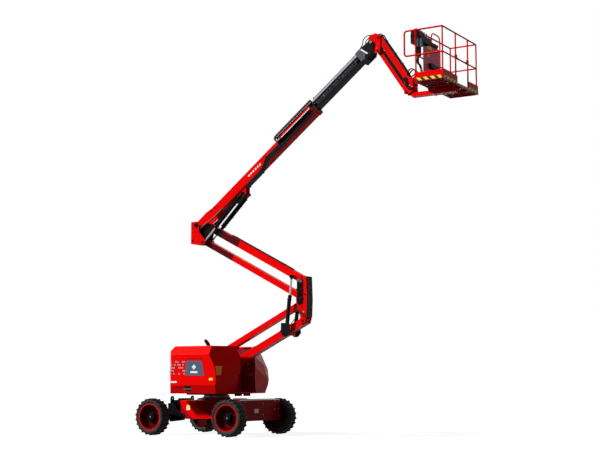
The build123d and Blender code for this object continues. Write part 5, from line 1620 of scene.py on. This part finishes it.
def makePlatform():
    look, body = platformLook, "platform"
    (backX, nearY, base), (frontX, farY, _) = box("platform_floor")
    deck = Member((0, 0, base), forwards)
    full, (low, high) = (nearY + 0.02, farY - 0.02), look["stripe"]
    long, front = (backX + 0.05, frontX - 0.04), (frontX - 0.0025, frontX + 0.0003)
    films = [deck.box(long, look["stripe"], (nearY - 0.002, nearY + 0.0025)),
             deck.box(long, look["stripe"], (farY - 0.0025, farY + 0.002)),
             deck.box(front, (low, look["frontStripe"]), full)]
    for y in ((full[0], look["frontGap"][0]), (look["frontGap"][1], full[1])):
        films.append(deck.box(front, (look["frontStripe"], high), y))
    piece("edgeStripes", films, warningFilm, body, bevel=0)
    midX = makeConsole(base)
    makeBackSheet(deck)

    # weld plates at the posts' feet, toe board screws, lanyard eyes and the foot switch
    inset, n = look["posts"], look["postFootN"]
    posts = [(x, y) for x in (backX + inset, frontX - inset) for y in (nearY + inset, farY - inset)]
    feet = [turnedPart(look["postFoot"], deck.at(x, n, y), upwards, 20, closed=True) for x, y in posts]
    toe, screws, eyes = box("toe_boards")[1][2] - look["toeScrews"] - base, [], []
    inset, gap, size = look["toeInset"], look["toeGap"], look["toeScrew"]
    for x in between(backX, frontX, inset, 4):
        screws.append(boltPart(deck.at(x, toe, nearY + gap), -across, size))
        screws.append(boltPart(deck.at(x, toe, farY - gap), across, size))
    for y in between(nearY, farY, inset, 7):
        screws.append(boltPart(deck.at(backX + gap, toe, y), -level.along, size))
        if not -0.22 < y < 0.42:  # clear of the front's middle
            screws.append(discPart(deck.at(frontX - gap, toe, y), level.along, *look["flatScrew"]))
    (ahead, n), (wide, wire), (s, height, half) = look["eyeAt"], look["eyeRing"], look["eyeFoot"]
    ring = [(wide + wire * math.cos(t), wire * math.sin(t)) for t in fullTurn(8)]
    for y in (nearY + look["eyeInset"], farY - look["eyeInset"]):
        eyes.append(turnedPart(ring, deck.at(backX + ahead, n, y), level.along, 24, closed=True))
        eyes.append(deck.box((backX + s[0], backX + s[1]), height, (y - half, y + half)))
    piece("postFeet", feet, redPaint, body)
    piece("toeScrews", screws, redPaint, body)
    piece("lanyardEyes", eyes, yellowFilm, body)
    s, n = look["pedalAt"]
    pedal = Member((midX + s, 0, base + n), forwards)
    plates = [platePart(pedal.run(look["guard"], y), 0.004 * across) for y in (-0.535, -0.369)]
    piece("footPedal", [pedal.box(*look["pedal"])], blackPlastic, body, bevel=0.004)
    piece("pedalGuard", plates + [pedal.box(*look["guardTop"])], yellowFilm, body, bevel=0)
    # the support's bolts and the grating's clips and tubes underneath
    ahead, n, rows, size = look["supportBolts"]
    under = [boltPart(deck.at(backX + s, n, y), -upwards, size) for s in ahead for y in rows]
    inset, sideInset = look["clipInset"]
    places = [(x, y) for y in between(nearY, farY, sideInset, 6) for x in (backX + inset, frontX - inset)]
    under += [discPart(deck.at(x, -look["studGap"], y), -upwards, *look["clip"]) for x, y in places]
    piece("floorClips", under, zinc, body)
    inset, sideInset = look["tubeInset"]
    ends = [(backX + inset, look["tubeN"]), (frontX - inset, look["tubeN"])]
    rows = (nearY + sideInset, *look["tubesBetween"], farY - sideInset)
    tubes = [tubePart(deck.run(ends, y), look["tubeRadius"], 12) for y in rows]
    piece("floorTubes", tubes, redPaint, body)
    # the gate bar's end grips
    low, high = box("gate_bar")
    starts = [np.array([(low[0] + high[0]) / 2, y, low[2] + 0.019]) for y in (low[1] + 0.08, high[1] - 0.14)]
    grips = [turnedPart(look["grip"], start, across, 20) for start in starts]
    piece("gateGrips", grips, blackPlastic, "gate_bar")


makePlatform()
print("platform dressed")

stageLook = dict(
    floorSize=160.0,
    floorGlow=0.9,  # the floor's own light to the camera, so that it reads as white
    floorShadow=0.14,  # how much of the lit floor, with its shadow, adds to that
    floorBounce=0.1,  # the floor's colour for light that reaches the machine
    keyTurn=(50.0, 0.0, -46.0),
    keyStrength=5.2,
    keySpread=5.0,
    fillStrength=0.135,
)


def makeFloor():
    paint = Paint("paleFloor")
    lit, dim = (paint.add("BsdfDiffuse", {0: [stageLook[key]] * 3}) for key in ("floorShadow", "floorBounce"))
    glow = paint.add("Emission", {1: stageLook["floorGlow"]})
    paint.choose(dim, paint.add("AddShader", {0: lit, 1: glow}), "Material Output")
    half = stageLook["floorSize"] / 2
    mesh = bpy.data.meshes.new("floor")
    corners = [(x * half, y * half, 0) for x, y in ((-1, -1), (1, -1), (1, 1), (-1, 1))]
    mesh.from_pydata(corners, [], [[0, 1, 2, 3]])
    mesh.materials.append(paint.holder)
    floor = bpy.data.objects.new("floor", mesh)
    bpy.context.scene.collection.objects.link(floor)


def makeLight():
    sky, white = Paint("studio", bpy.data.worlds), [1.0, 1.0, 1.0]
    fill, seen = (sky.add("Background", {0: white, 1: power}) for power in (stageLook["fillStrength"], 1.0))
    sky.choose(fill, seen, "World Output")
    bpy.context.scene.world = sky.holder
    sun = bpy.data.lights.new("key", "SUN")
    sun.energy = stageLook["keyStrength"]
    sun.angle = math.radians(stageLook["keySpread"])
    key = bpy.data.objects.new("key", sun)
    key.rotation_euler = [math.radians(a) for a in stageLook["keyTurn"]]
    bpy.context.scene.collection.objects.link(key)


cameraLook = dict(
    place=(14.7119, -24.3842, 1.2366),
    turn=(96.801, 0.0, 31.3402),
    sensor=36.0,
    lens=75.17,
    shiftY=0.0109,
    farthest=300.0,
)


def makeCamera():
    cam = bpy.data.cameras.new("view")
    cam.sensor_width = cameraLook["sensor"]
    cam.lens = cameraLook["lens"]
    cam.shift_y = cameraLook["shiftY"]
    cam.clip_end = cameraLook["farthest"]
    holder = bpy.data.objects.new("view", cam)
    holder.location = cameraLook["place"]
    holder.rotation_euler = [math.radians(a) for a in cameraLook["turn"]]
    bpy.context.scene.collection.objects.link(holder)
    bpy.context.scene.camera = holder
    bpy.context.scene.view_settings.view_transform = "Standard"


makeFloor()
makeLight()
makeCamera()
print("stage set")
